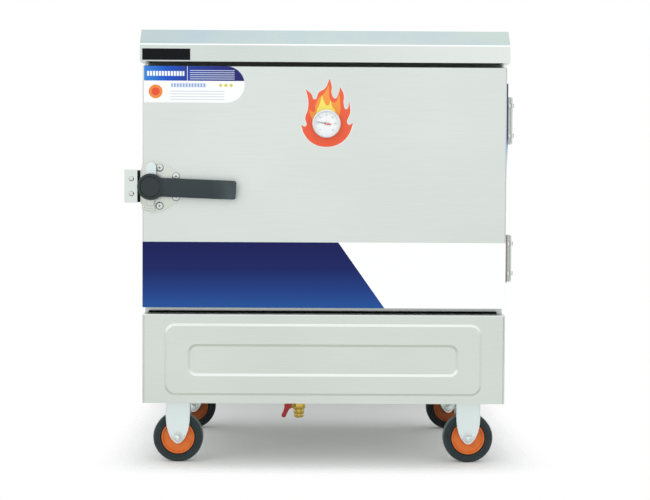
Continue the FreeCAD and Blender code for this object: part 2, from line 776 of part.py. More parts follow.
def inner_liner():
    """Deep-drawn chamber, open at the front above the sump wall."""
    body = new_body("inner_liner")
    outer = f"({CHAMBER_SIDE} + liner_sheet)"
    section = rectangle((minus(outer), outer), (LINER_FLOOR, f"{MOUTH_TOP} + liner_sheet"))
    depth = f"{LINER_BACK} - {FRAME_BACK}"
    solid = pad_outline(body, "XZ_Plane", FRAME_BACK, section, depth, backward=True)
    solid = round_edges(body, solid, "mouth_corner + liner_sheet", lambda edge: runs_along(edge, Y_AXIS))
    hollow(body, solid, "liner_sheet", FreeCAD.Vector(0, -1, 0))
    wall = rectangle(
        (minus(f"{CHAMBER_SIDE} - mouth_corner"), f"{CHAMBER_SIDE} - mouth_corner"),
        (f"{SUMP_FLOOR} - liner_sheet / 2", MOUTH_BOTTOM),
    )
    pad_outline(body, "XZ_Plane", FRAME_BACK, wall, "liner_sheet", backward=True)
    ends = [
        (minus(f"{CHAMBER_SIDE} + liner_sheet / 2"), minus(f"{CHAMBER_SIDE} - mouth_corner")),
        (f"{CHAMBER_SIDE} - mouth_corner", f"{CHAMBER_SIDE} + liner_sheet / 2"),
    ]
    for span in ends:
        end = rectangle(span, (f"{SUMP_FLOOR} + mouth_corner", MOUTH_BOTTOM))
        pad_outline(body, "XZ_Plane", FRAME_BACK, end, "liner_sheet", backward=True)
    sketch = new_sketch(body, "XZ_Plane", LINER_BACK)
    draw_circle(sketch, TANK_X, LINK_Z, LINK_HOLE)
    draw_circle(sketch, VENT_X, VENT_Z, VENT_HOLE)
    for middle in HEATER_XS:
        for side in (-1, 1):
            place_x = f"{middle} + {side} * heater_bend_radius"
            draw_circle(sketch, place_x, HEATER_Z, "heater_radius + hole_clearance")
    pocket(body, sketch, "liner_sheet", backward=True)
    drain = [("drain_x", "drain_y")]
    drill(body, "XY_Plane", SUMP_FLOOR, drain, "drain_pipe_radius + hole_clearance", "liner_sheet")
    keep("inner_liner", body)


def cabinet_insulation():
    """Mineral wool between the chamber and the outer sheets."""
    outer = block(
        (minus(INNER_SIDE), INNER_SIDE),
        (FRAME_BACK, BACK_INNER),
        (f"{LINER_FLOOR} - floor_insulation", UNDER_TOP),
    )
    side = f"({CHAMBER_SIDE} + liner_sheet)"
    chamber_z = (LINER_FLOOR, f"{MOUTH_TOP} + liner_sheet")
    chamber = block((minus(side), side), (FRAME_BACK, LINER_BACK), chamber_z)
    wiring = block(WIRING_X, (LINER_BACK, BACK_INNER), WIRING_Z)
    link = rod("y", LINK_HOLE, (LINER_BACK, BACK_INNER), (TANK_X, LINK_Z))
    vent = rod("y", VENT_HOLE, (LINER_BACK, BACK_INNER), (VENT_X, VENT_Z))
    drain_span = (f"{LINER_FLOOR} - floor_insulation", LINER_FLOOR)
    drain = rod("z", "drain_pipe_radius + hole_clearance", drain_span, ("drain_x", "drain_y"))
    keep("cabinet_insulation", cut("cabinet_insulation", outer, [chamber, wiring, link, vent, drain]))


# Base

def field_form(level, spans, depth, corner, widens=False):
    """A rounded, sloping block that stands forward of a level, as a press tool leaves it."""
    body = new_body("pressed_field")
    taper = "emboss_slope" if widens else minus("emboss_slope")
    pad_outline(body, "XZ_Plane", level, rounded_rectangle(*spans, corner), depth, taper=taper)
    return body


def base_form(inset):
    """Outside of the base front for no inset, or its inside for one sheet's inset."""
    body = new_body("base_form")
    side = f"({SIDE} - {inset})"
    outline = rectangle((minus(side), side), (f"ground_clearance + {inset}", f"{BASE_TOP} - {inset}"))
    level = f"({FRONT} + {inset})"
    solid = pad_outline(body, "XZ_Plane", level, outline, f"{FRAME_FACE} - {level}", backward=True)
    nose = value(level) + 1
    corner = f"door_corner - {inset}"
    round_edges(body, solid, corner, lambda edge: runs_along(edge, Z_AXIS) and edge.CenterOfMass.y < nose)
    outer_x = f"({SIDE} - emboss_margin_x)"
    outer_z = ("ground_clearance + emboss_margin_z", f"{BASE_TOP} - emboss_margin_z")
    inner_x = f"({outer_x} - emboss_frame_x)"
    inner_z = (f"{outer_z[0]} + emboss_frame_z", f"{outer_z[1]} - emboss_frame_z")
    outer = (about_middle(outer_x), outer_z)
    raised = field_form(f"({level} + 1)", outer, "emboss_depth + 1", "emboss_corner")
    floor = (about_middle(inner_x), inner_z)
    sunk = field_form(level, floor, "emboss_depth + 1", "emboss_inner_corner", widens=True)
    return cut("base_form", fuse("raised_form", [body, raised]), [sunk])


def base_front_panel():
    """Folded front of the base, with a raised frame pressed into it."""
    under = block(
        (minus(INNER_SIDE), INNER_SIDE),
        (f"{FRONT} + base_hem", FRAME_FACE),
        ("ground_clearance", "ground_clearance + panel_sheet"),
    )
    keep("base_front_panel", cut("base_front_panel", base_form("0"), [base_form("panel_sheet"), under]))


DRAIN_HOLE = "drain_pipe_radius + hole_clearance"
WHEEL_XS = {"left": minus(f"({SIDE} - wheel_inset_x)"), "right": f"({SIDE} - wheel_inset_x)"}
WHEEL_YS = {"front": f"({FRONT} + wheel_inset_y)", "rear": f"({BACK} - wheel_inset_y)"}
CORNERS = [(f"{end}_{side}", WHEEL_XS[side], WHEEL_YS[end]) for end in WHEEL_YS for side in WHEEL_XS]


def caster_bolts_at(x, y):
    return [
        (f"{x} + {across} * caster_bolt_x / 2", f"{y} + {along} * caster_bolt_y / 2")
        for across in (-1, 1) for along in (-1, 1)
    ]


def base_tray():
    """Floor of the base with upturned edges, which carries the casters."""
    body = new_body("base_tray")
    outline = rectangle((minus(INNER_SIDE), INNER_SIDE), (f"{FRONT} + door_corner", BACK_INNER))
    solid = pad_outline(body, "XY_Plane", BASE_FLOOR, outline, "base_tray_edge")
    hollow(body, solid, "panel_sheet", Z_AXIS)
    holes = [hole for name, x, y in CORNERS for hole in caster_bolts_at(x, y)]
    drill(body, "XY_Plane", f"{BASE_FLOOR} + panel_sheet", holes, "caster_bolt_radius", "panel_sheet")
    drain = [("drain_x", "drain_y")]
    drill(body, "XY_Plane", f"{BASE_FLOOR} + panel_sheet", drain, DRAIN_HOLE, "panel_sheet")
    keep("base_tray", body)


# Casters

FORK_TOP = BASE_FLOOR
FORK_CROWN = f"({BASE_FLOOR} - fork_sheet)"
AXLE_Z = "wheel_radius"


def fork_leg(name, x, near, far):
    """One cheek of a fork: straight sides that curve in to a rounded tip under the axle."""
    body = new_body(name + "_leg")
    half = value("fork_width / 2")
    drop = value("fork_taper_height")
    tip = value("fork_tip_radius")
    sweep = (half ** 2 + drop ** 2 - tip ** 2) / (2 * (half - tip))
    touch = tip / (sweep - tip)
    side_x = (sweep - half) * touch
    side_z = drop * touch
    shoulder = f"{AXLE_Z} + fork_taper_height"
    steps = [
        (f"{x} + fork_width / 2", FORK_CROWN),
        (f"{x} - fork_width / 2", FORK_CROWN),
        (f"{x} - fork_width / 2", shoulder),
        (f"{x} - {side_x}", f"{AXLE_Z} - {side_z}", str(sweep), 1),
        (x, f"{AXLE_Z} - fork_tip_radius", "fork_tip_radius", 1),
        (f"{x} + {side_x}", f"{AXLE_Z} - {side_z}", "fork_tip_radius", 1),
        (f"{x} + fork_width / 2", shoulder, str(sweep), 1),
    ]
    pad_outline(body, "XZ_Plane", near, steps, f"{far} - {near}", backward=True)
    drill(body, "XZ_Plane", near, [(x, AXLE_Z)], "axle_radius", f"{far} - {near}")
    return body


def caster_fork(name, x, y):
    """Top plate and two cheeks of one fixed caster."""
    outer = "(fork_gap / 2 + fork_sheet)"
    inner = "(fork_gap / 2)"
    front = fork_leg(name, x, f"({y} - {outer})", f"({y} - {inner})")
    rear = fork_leg(name, x, f"({y} + {inner})", f"({y} + {outer})")
    body = new_body(name + "_plate")
    outline = rectangle(
        (f"{x} - caster_plate_length / 2", f"{x} + caster_plate_length / 2"),
        (f"{y} - caster_plate_width / 2", f"{y} + caster_plate_width / 2"),
    )
    solid = pad_outline(body, "XY_Plane", FORK_CROWN, outline, "fork_sheet")
    round_edges(body, solid, "fork_sheet * 3", lambda edge: runs_along(edge, Z_AXIS))
    drill(body, "XY_Plane", FORK_TOP, caster_bolts_at(x, y), "caster_bolt_radius", "fork_sheet")
    return fuse(name + "_fork", [front, rear, body])


def axle(x, y):
    """Bolt through the fork, with its nut."""
    outer = "(fork_gap / 2 + fork_sheet)"
    span = (f"{y} - {outer} - axle_nut_height", f"{y} + {outer} + axle_nut_height")
    shank = rod("y", "axle_radius", span, (x, AXLE_Z))
    head = rod("y", "axle_nut_radius", (span[0], f"{y} - {outer}"), (x, AXLE_Z))
    nut = hexagon("y", "axle_nut_radius", (f"{y} + {outer}", span[1]), (x, AXLE_Z))
    return fuse("axle", [shank, head, nut])


def caster_bolt(x, y):
    span = (f"{FORK_CROWN} - axle_nut_height", f"{FORK_TOP} + panel_sheet")
    shank = rod("z", "caster_bolt_radius", span, (x, y))
    head = hexagon("z", "caster_bolt_radius * 1.7", (span[0], FORK_CROWN), (x, y))
    return fuse("caster_bolt", [shank, head])


def tyre(name, x, y):
    """Rubber tyre with rounded shoulders and a shallow groove in each wall."""
    half = "(wheel_width / 2)"
    bead = "(wheel_centre_radius + tyre_bead)"
    wall = f"({bead} + tyre_groove)"
    groove = f"({half} - tyre_groove_depth)"
    profile = [
        ("wheel_centre_radius", minus(half)),
        (bead, minus(half)),
        (f"{bead} + tyre_groove_depth", minus(groove)),
        (f"{wall} - tyre_groove_depth", minus(groove)),
        (wall, minus(half)),
        ("wheel_radius - tyre_shoulder", minus(half)),
        ("wheel_radius", minus(f"{half} - tyre_shoulder"), "tyre_shoulder", 1),
        ("wheel_radius", f"{half} - tyre_shoulder"),
        ("wheel_radius - tyre_shoulder", half, "tyre_shoulder", 1),
        (wall, half),
        (f"{wall} - tyre_groove_depth", groove),
        (f"{bead} + tyre_groove_depth", groove),
        (bead, half),
        ("wheel_centre_radius", half),
    ]
    return turned(f"{name}_tyre", profile, (x, y, AXLE_Z), FORWARD)


def wheel_centre(name, x, y):
    """Dished wheel centre with a hub that turns on the axle."""
    half = "(wheel_width / 2)"
    bore = "(axle_radius + running_clearance)"
    hub = f"{half} + wheel_hub_proud"
    dish = f"{half} - wheel_dish"
    rim = "wheel_centre_radius - wheel_rim"
    profile = [
        (bore, minus(hub)),
        ("wheel_hub_radius", minus(hub)),
        ("wheel_hub_radius + wheel_dish / 2", minus(dish)),
        (f"{rim} - wheel_dish / 2", minus(dish)),
        (rim, minus(half)),
        ("wheel_centre_radius", minus(half)),
        ("wheel_centre_radius", half),
        (rim, half),
        (f"{rim} - wheel_dish / 2", dish),
        ("wheel_hub_radius + wheel_dish / 2", dish),
        ("wheel_hub_radius", hub),
        (bore, hub),
    ]
    return turned(f"{name}_wheel_centre", profile, (x, y, AXLE_Z), FORWARD)


def casters():
    keep("caster_forks", group("caster_forks", [caster_fork(*corner) for corner in CORNERS]))
    bolts = [axle(x, y) for name, x, y in CORNERS]
    for name, x, y in CORNERS:
        bolts += [caster_bolt(*point) for point in caster_bolts_at(x, y)]
    keep("caster_bolts", group("caster_bolts", bolts))
    for name, x, y in CORNERS:
        keep(f"{name}_tyre", tyre(name, x, y))
        keep(f"{name}_wheel_centre", wheel_centre(name, x, y))


# Chamber

def tray_bottom(number):
    return f"({MOUTH_BOTTOM} + tray_floor_height + {number} * tray_pitch)"


def tray(number):
    """Drawn steel tray with sloping walls and a turned-down rim."""
    body = new_body(f"tray_{number + 1}")
    level = "tray_depth"
    well_x = "(tray_width / 2 - tray_rim)"
    well_y = "(tray_length / 2 - tray_rim)"
    outline = rectangle((minus(well_x), well_x), (minus(well_y), well_y))
    solid = pad_outline(body, "XY_Plane", level, outline, "tray_depth", backward=True)
    solid = slope_sides(body, solid, "tray_taper", Z_AXIS)
    top = value(level)

    def upright(edge):
        heights = [vertex.Z for vertex in edge.Vertexes]
        return max(heights) - min(heights) > top / 2

    solid = round_edges(body, solid, "tray_corner", upright)
    solid = round_edges(body, solid, "tray_rim * 0.7", lambda edge: edge.BoundBox.ZMax < 0.01)
    hollow(body, solid, "tray_sheet", Z_AXIS)
    rim_x = "(tray_width / 2)"
    rim_y = "(tray_length / 2)"
    inner_x = f"({well_x} - tray_sheet)"
    inner_y = f"({well_y} - tray_sheet)"
    lip_x = f"({rim_x} - tray_sheet * 2)"
    lip_y = f"({rim_y} - tray_sheet * 2)"
    outer = (rim_x, rim_y, "tray_corner + tray_rim")
    ring(body, outer, (inner_x, inner_y, "tray_corner - tray_sheet"), level, "tray_sheet")
    ring(body, outer, (lip_x, lip_y, "tray_corner + tray_rim - tray_sheet * 2"), level, "tray_lip")
    middle_y = f"{TRAY_FRONT} + tray_length / 2"
    return place(body, ("0", middle_y, tray_bottom(number)))


def ring(body, outer, inner, level, depth):
    """A flat ring between two rounded rectangles, hanging from a level."""
    sketch = new_sketch(body, "XY_Plane", level)
    for x, y, radius in (outer, inner):
        draw(sketch, rounded_rectangle(about_middle(x), about_middle(y), radius))
    return pad(body, sketch, depth, backward=True)


def trays():
    for number in range(4):
        keep(f"tray_{number + 1}", tray(number))


RUNNER_START = f"({FRAME_BACK} + 6)"
RUNNER_END = f"({TRAY_FRONT} + tray_length + 8)"


def tray_rack(label, sign):
    """Two wall strips that carry four angle runners, each with a stop at its end."""

    def across(low, high):
        near = (f"{CHAMBER_SIDE} - ({high})", f"{CHAMBER_SIDE} - ({low})")
        return near if sign > 0 else (minus(near[1]), minus(near[0]))

    items = []
    top = f"({tray_bottom(3)} + tray_depth + rack_runner_height)"
    for share in (0.12, 0.86):
        start = f"({RUNNER_START} + ({RUNNER_END} - {RUNNER_START}) * {share})"
        foot = f"{MOUTH_BOTTOM} - baffle_drop + baffle_sheet + 2"
        post_y = (start, f"{start} + rack_post_width")
        items.append(block(across("0", "rack_post_sheet"), post_y, (foot, top)))
    inner = "rack_post_sheet"
    wall = "(rack_post_sheet + rack_runner_sheet)"
    for number in range(4):
        seat = f"({tray_bottom(number)} + tray_depth - tray_lip - soft_gap)"
        low = f"({seat} - rack_runner_sheet)"
        high = f"({low} + rack_runner_height)"
        items.append(block(across(inner, wall), (RUNNER_START, RUNNER_END), (low, high)))
        items.append(block(across(inner, "rack_runner_width"), (RUNNER_START, RUNNER_END), (low, seat)))
        stop = (f"{TRAY_FRONT} + tray_length + 2", f"{TRAY_FRONT} + tray_length + 2 + rack_runner_sheet")
        items.append(block(across(inner, "rack_runner_width"), stop, (low, f"{low} + rack_stop_height")))
    return fuse(label, items)


def steam_baffle():
    """Slotted false floor over the heated sump, standing on four folded legs."""
    body = new_body("steam_baffle")
    side = f"({CHAMBER_SIDE} - baffle_margin)"
    front = f"({FRAME_BACK} + liner_sheet + baffle_margin)"
    rear = f"({CHAMBER_BACK} - baffle_margin)"
    level = f"({MOUTH_BOTTOM} - baffle_drop)"
    pad_outline(body, "XY_Plane", level, rectangle((minus(side), side), (front, rear)), "baffle_sheet")
    outer = f"({side} - mouth_corner)"
    inner = f"({outer} - baffle_sheet)"
    for span in ((minus(outer), minus(inner)), (inner, outer)):
        for near, far in ((front, f"{front} + baffle_leg_width"), (f"{rear} - baffle_leg_width", rear)):
            leg = rectangle(span, (near, far))
            pad_outline(body, "XY_Plane", SUMP_FLOOR, leg, f"{level} - {SUMP_FLOOR}")
    pitch = f"(({rear} - {front} - baffle_slot_margin - baffle_slot_width) / 12)"
    slots = []
    for column in range(-2, 3):
        middle = f"({column} * (baffle_slot_length + baffle_slot_gap))"
        for line in range(12):
            near = f"({front} + baffle_slot_margin + {line} * {pitch})"
            spans = (f"{middle} - baffle_slot_length / 2", f"{middle} + baffle_slot_length / 2")
            slot_y = (near, f"{near} + baffle_slot_width")
            slots.append(block(spans, slot_y, (f"{level} - 1", f"{level} + 5")))
    keep("steam_baffle", cut("steam_baffle", body, slots))


def heating_element(middle):
    """U-shaped sheathed element, with a flange inside the wall and two terminals behind it."""
    front = f"({FRAME_BACK} + heater_front_gap)"
    end = f"({BACK_FACE} + terminal_reach)"
    legs = [
        rod("y", "heater_radius", (front, end), (f"{middle} + {side} * heater_bend_radius", HEATER_Z))
        for side in (-1, 1)
    ]
    bend = doc.addObject("Part::Torus", "bend")
    tie(bend, "Radius1", "heater_bend_radius")
    tie(bend, "Radius2", "heater_radius")
    bend.Angle3 = 180
    place(bend, (middle, front, HEATER_Z), FreeCAD.Rotation(Z_AXIS, 180))
    reach = "(heater_bend_radius + 2 * heater_radius)"
    flange = block(
        (f"{middle} - {reach}", f"{middle} + {reach}"),
        (f"{CHAMBER_BACK} - heater_flange_thickness", CHAMBER_BACK),
        (f"{HEATER_Z} - 2 * heater_radius", f"{HEATER_Z} + 2 * heater_radius"),
    )
    return fuse("heating_element", legs + [bend, flange])


def terminal_cover():
    """Shallow box over the element terminals, open toward the cabinet."""
    sides = [f"(heater_middle_x - cover_width / 2 + {inset})" for inset in ("0", "panel_sheet")]
    far = [f"(heater_middle_x + cover_width / 2 - {inset})" for inset in ("0", "panel_sheet")]
    low = [f"({COVER_BOTTOM} + {inset})" for inset in ("0", "panel_sheet")]
    high = [f"({COVER_TOP} - {inset})" for inset in ("0", "panel_sheet")]
    back = f"({BACK_FACE} + cover_depth)"
    outer = block((sides[0], far[0]), (BACK_FACE, back), (low[0], high[0]))
    inner = block((sides[1], far[1]), (f"{BACK_FACE} - 1", f"{back} - panel_sheet"), (low[1], high[1]))
    hole = rod("z", "gland_radius * 0.75", (f"{low[0]} - 1", f"{low[1]} + 1"), (GLAND_X, GLAND_Y))
    keep("terminal_cover", cut("terminal_cover", outer, [inner, hole]))


GLAND_X = "(heater_middle_x + cover_width / 2 - 50)"
GLAND_Y = f"({BACK_FACE} + cover_depth / 2)"


def cable_gland():
    """Screwed gland with a domed nut, for a supply cable from below."""
    neck = "(gland_radius * 0.75)"
    profile = [
        ("gland_bore_radius", minus("gland_length")),
        ("gland_radius * 0.8", minus("gland_length")),
        ("gland_radius", minus("gland_length * 0.7")),
        ("gland_radius", "0"),
        (neck, "0"),
        (neck, "panel_sheet"),
        ("gland_radius", "panel_sheet"),
        ("gland_radius", "panel_sheet + 5"),
        ("gland_bore_radius", "panel_sheet + 5"),
    ]
    keep("cable_gland", turned("cable_gland", profile, (GLAND_X, GLAND_Y, COVER_BOTTOM)))


# Water

TANK_FLOOR = f"({SUMP_FLOOR} - tank_drop)"
TANK_TOP = f"({TANK_FLOOR} + tank_height)"
TANK_LEFT = f"({TANK_X} - tank_width / 2)"
TANK_RIGHT = f"({TANK_X} + tank_width / 2)"
TANK_BACK = f"({BACK_FACE} + tank_depth)"
INLET_Z = f"({TANK_TOP} - inlet_drop)"
INLET_Y = f"({BACK_FACE} + tank_depth / 2)"
LID_Y = f"({BACK_FACE} + lid_barrel_radius + 1)"
LID_Z = f"({TANK_TOP} + lid_barrel_radius + 1)"
FLOAT_X = f"({TANK_LEFT} + tank_sheet + float_pivot_reach)"


def feed_tank():
    """Open water box on the back, level with the sump, with ears for the lid's pin."""
    body = new_body("feed_tank")
    outline = rectangle((TANK_LEFT, TANK_RIGHT), (BACK_FACE, TANK_BACK))
    solid = pad_outline(body, "XY_Plane", TANK_FLOOR, outline, "tank_height")
    solid = round_edges(body, solid, "2 * tank_sheet", lambda edge: runs_along(edge, Z_AXIS))
    hollow(body, solid, "tank_sheet", Z_AXIS)
    ear = [
        (BACK_FACE, f"{TANK_TOP} - lid_ear"),
        (f"{LID_Y} + lid_barrel_radius", f"{TANK_TOP} - lid_ear"),
        (f"{LID_Y} + lid_barrel_radius", f"{LID_Z} + lid_barrel_radius"),
        (BACK_FACE, f"{LID_Z} + lid_barrel_radius"),
    ]
    for start in (f"({TANK_LEFT} - tank_sheet)", TANK_RIGHT):
        pad_outline(body, "YZ_Plane", start, ear, "tank_sheet")
    pin = [(LID_Y, LID_Z)]
    across = "tank_width + 4 * tank_sheet"
    drill(body, "YZ_Plane", f"{TANK_RIGHT} + 2 * tank_sheet", pin, "lid_pin_radius", across)
    link = [(TANK_X, LINK_Z)]
    drill(body, "XZ_Plane", BACK_FACE, link, LINK_HOLE, "2 * tank_sheet")
    inlet = [(INLET_Y, INLET_Z)]
    drill(body, "YZ_Plane", f"{TANK_LEFT} + 2 * tank_sheet", inlet, "inlet_thread_radius", "3 * tank_sheet")
    keep("feed_tank", body)


def feed_tank_lid():
    """Lid with a turned-down skirt on three sides and a barrel round its pin."""
    left = f"({TANK_LEFT} - tank_sheet - soft_gap)"
    right = f"({TANK_RIGHT} + tank_sheet + soft_gap)"
    inner_left = f"({TANK_LEFT} + 3)"
    inner_right = f"({TANK_RIGHT} - 3)"
    low = f"({TANK_TOP} + soft_gap)"
    high = f"({TANK_TOP} + soft_gap + tank_sheet)"
    start = f"({LID_Y} + lid_barrel_radius + 2)"
    rear = f"({TANK_BACK} + 2 * tank_sheet)"
    skirt = f"({TANK_TOP} - lid_skirt)"
    top = block((left, right), (start, rear), (low, high))
    tongue = block((inner_left, inner_right), (LID_Y, start), (low, high))
    behind = block((left, right), (f"{rear} - tank_sheet", rear), (skirt, low))
    near = f"({left} - tank_sheet)"
    left_skirt = block((near, left), (start, rear), (skirt, high))
    right_skirt = block((right, f"{right} + tank_sheet"), (start, rear), (skirt, high))
    barrel = rod("x", "lid_barrel_radius", (inner_left, inner_right), (LID_Y, LID_Z))
    solid = fuse("lid_form", [top, tongue, behind, left_skirt, right_skirt, barrel])
    bore_span = (f"{inner_left} - 1", f"{inner_right} + 1")
    bore = rod("x", "lid_pin_radius + running_clearance", bore_span, (LID_Y, LID_Z))
    keep("feed_tank_lid", cut("feed_tank_lid", solid, [bore]))


def float_valve():
    """Brass inlet valve: threaded tail outside the tank, body and pivot fork inside."""
    outside = f"({TANK_LEFT} - inlet_thread_length)"
    wall = f"({TANK_LEFT} + tank_sheet)"
    axis = (INLET_Y, INLET_Z)
    tail = rod("x", "inlet_thread_radius", (outside, f"{wall} + valve_nut_height + 1"), axis)
    nut = hexagon("x", "inlet_thread_radius * 1.45", (f"{TANK_LEFT} - valve_nut_height", TANK_LEFT), axis)
    collar = rod("x", "inlet_thread_radius * 1.25", (wall, f"{wall} + valve_nut_height"), axis)
    cheeks = []
    for inside in ("valve_cheek_gap / 2", "0 - valve_cheek_gap / 2 - valve_cheek_sheet"):
        near = f"{INLET_Y} + {inside}"
        low = f"{INLET_Z} - (valve_cheek_height + 1) / 2"
        cheeks.append(block(
            (f"{wall} + valve_nut_height - 1", f"{FLOAT_X} + 2 * lid_pin_radius"),
            (near, f"{near} + valve_cheek_sheet"),
            (low, f"{low} + valve_cheek_height"),
        ))
    reach = "(valve_cheek_gap / 2 + valve_cheek_sheet)"
    pin = rod("y", "lid_pin_radius", (f"{INLET_Y} - {reach}", f"{INLET_Y} + {reach}"), (FLOAT_X, INLET_Z))
    bore = rod("x", "link_bore_radius", (f"{outside} - 1", wall), (INLET_Y, INLET_Z))
    solid = fuse("valve_form", [tail, nut, collar, pin] + cheeks)
    keep("float_valve", cut("float_valve", solid, [bore]))


def float_arm_and_ball():
    """Lever from the valve's pivot into the ball, hanging on its stop in an empty tank."""
    half = "(valve_cheek_gap / 2 - 2 * soft_gap)"
    eye = rod("y", "float_arm_radius * 2", (minus(half), half), ("0", "0"))
    seat = "(float_arm_length - float_radius + 8)"
    bar = rod("x", "float_arm_radius", ("0", seat), ("0", "0"))
    solid = fuse("arm_form", [eye, bar])
    bore = rod("y", "lid_pin_radius + running_clearance", (minus(f"({half} + 1)"), f"{half} + 1"), ("0", "0"))
    sphere = doc.addObject("Part::Sphere", "sphere")
    tie(sphere, "Radius", "float_radius")
    tie(sphere, "Placement.Base.x", "float_arm_length")
    socket = rod("x", "float_arm_radius", ("0", seat), ("0", "0"))
    for item in (cut("float_arm", solid, [bore]), cut("float_ball", sphere, [socket])):
        slope = FreeCAD.Rotation(Y_AXIS, value("float_slope"))
        item.Placement = FreeCAD.Placement(FreeCAD.Vector(0, 0, 0), slope)
        for letter, formula in zip("xyz", (FLOAT_X, INLET_Y, INLET_Z)):
            tie(item, f"Placement.Base.{letter}", formula)
        tie(item, "Placement.Rotation.Angle", "float_slope")
        keep(item.Label, item)


def link_pipe():
    """Short pipe that keeps the feed tank and the sump at one level, nutted at both ends."""
    span = (f"{CHAMBER_BACK} - link_nut_height", f"{BACK_FACE} + tank_sheet + link_nut_height")
    tube = rod("y", "link_radius", span, (TANK_X, LINK_Z))
    inside = hexagon("y", "link_nut_radius", (span[0], CHAMBER_BACK), (TANK_X, LINK_Z))
    outside = hexagon("y", "link_nut_radius", (f"{BACK_FACE} + tank_sheet", span[1]), (TANK_X, LINK_Z))
    bore = rod("y", "link_bore_radius", (f"{span[0]} - 1", f"{span[1]} + 1"), (TANK_X, LINK_Z))
    keep("link_pipe", cut("link_pipe", fuse("link_form", [tube, inside, outside]), [bore]))


def vent_form(radius):
    """Straight pipe through the back, an elbow and a tail that points down."""
    far = f"({BACK_FACE} + vent_reach)"
    straight = rod("y", radius, (CHAMBER_BACK, far), (VENT_X, VENT_Z))
    bend = doc.addObject("Part::Torus", "elbow")
    tie(bend, "Radius1", "vent_bend")
    tie(bend, "Radius2", radius)
    bend.Angle3 = 90
    place(bend, (VENT_X, far, f"{VENT_Z} - vent_bend"), LEFT)
    down = f"({VENT_Z} - vent_bend)"
    tail = rod("z", radius, (f"{down} - vent_tail", down), (VENT_X, f"{far} + vent_bend"))
    return [straight, bend, tail]


def vent_pipe():
    """Steam outlet from the top of the chamber, with a flange on the back panel."""
    outer = vent_form("vent_radius")
    flange = rod("y", "vent_radius * 1.7", (BACK_FACE, f"{BACK_FACE} + 2"), (VENT_X, VENT_Z))
    inner = fuse("vent_bore", vent_form("vent_bore_radius"))
    keep("vent_pipe", cut("vent_pipe", fuse("vent_wall", outer + [flange]), [inner]))


# Drain

VALVE_TOP = "(valve_height + valve_half_length)"
VALVE_BOTTOM = "(valve_height - valve_half_length)"
STEM_X = "(drain_x - valve_barrel_radius)"


def drain_pipe():
    """Flanged pipe from the sump floor down to the valve, with a nut under the insulation."""
    centre = ("drain_x", "drain_y")
    tube = rod("z", "drain_pipe_radius", (VALVE_TOP, SUMP_FLOOR), centre)
    flange = rod("z", "drain_pipe_radius * 1.7", (SUMP_FLOOR, f"{SUMP_FLOOR} + 3"), centre)
    under = f"({LINER_FLOOR} - floor_insulation)"
    nut = hexagon("z", "drain_pipe_radius * 1.6", (f"{under} - 8", under), centre)
    bore = rod("z", "drain_bore_radius", (f"{VALVE_TOP} - 1", f"{SUMP_FLOOR} + 4"), centre)
    keep("drain_pipe", cut("drain_pipe", fuse("drain_form", [tube, flange, nut]), [bore]))


def drain_valve_body():
    """Brass ball valve: hexagon ends, round barrel, stem boss and an open outlet below."""
    centre = ("drain_x", "drain_y")
    hex_length = "(valve_half_length * 0.55)"
    top = hexagon("z", "valve_hex_radius", (f"{VALVE_TOP} - {hex_length}", VALVE_TOP), centre)
    low = hexagon("z", "valve_hex_radius", (VALVE_BOTTOM, f"{VALVE_BOTTOM} + {hex_length}"), centre)
    barrel = rod("z", "valve_barrel_radius", (VALVE_BOTTOM, VALVE_TOP), centre)
    boss = rod("x", "valve_stem_radius * 1.7", (f"{STEM_X} - 7", "drain_x"), ("drain_y", "valve_height"))
    solid = fuse("valve_form", [top, low, barrel, boss])
    stem_span = (f"{STEM_X} - 8", f"{STEM_X} + 2")
    stem = rod("x", "valve_stem_radius + running_clearance", stem_span, ("drain_y", "valve_height"))
    outlet_span = (f"{VALVE_BOTTOM} - 1", f"{VALVE_BOTTOM} + outlet_thread_length")
    outlet = rod("z", "outlet_thread_radius", outlet_span, centre)
    inlet = rod("z", "drain_bore_radius", (f"{VALVE_TOP} - 9", f"{VALVE_TOP} + 1"), centre)
    keep("drain_valve_body", cut("drain_valve_body", solid, [stem, outlet, inlet]))


def drain_valve_stem():
    """Stem with the nut that holds the handle."""
    end = "(drain_x - valve_stem_reach)"
    pin = rod("x", "valve_stem_radius", (end, f"{STEM_X} + 1"), ("drain_y", "valve_height"))
    nut = hexagon("x", "valve_stem_radius * 1.7", (f"{end} + 1", f"{end} + 5"), ("drain_y", "valve_height"))
    keep("drain_valve_stem", fuse("drain_valve_stem", [pin, nut]))


def drain_valve_handle():
    """Butterfly handle: a flat middle on the stem and two wings bent outward."""
    root = "(drain_x - valve_stem_reach + 5)"
    body = new_body("drain_valve_handle")
    lean = "(valve_wing_span * 0.4)"
    flat = "(valve_stem_radius * 2)"
    outline = [
        (f"{root} - {lean}", minus("valve_wing_span")),
        (f"{root} + valve_wing_sheet - {lean}", minus("valve_wing_span")),
        (f"{root} + valve_wing_sheet", minus(flat)),
        (f"{root} + valve_wing_sheet", flat),
        (f"{root} + valve_wing_sheet - {lean}", "valve_wing_span"),
        (f"{root} - {lean}", "valve_wing_span"),
        (root, flat),
        (root, minus(flat)),
    ]
    wing = "(valve_wing_width / 2)"
    solid = pad_outline(body, "XZ_Plane", wing, outline, "valve_wing_width")
    hole = [("0", "0")]
    start = f"{root} + 2 * valve_wing_sheet"
    drill(body, "YZ_Plane", start, hole, "valve_stem_radius", "4 * valve_wing_sheet")
    place(body, ("0", "drain_y", "valve_height"))
    keep("drain_valve_handle", body)


# Door

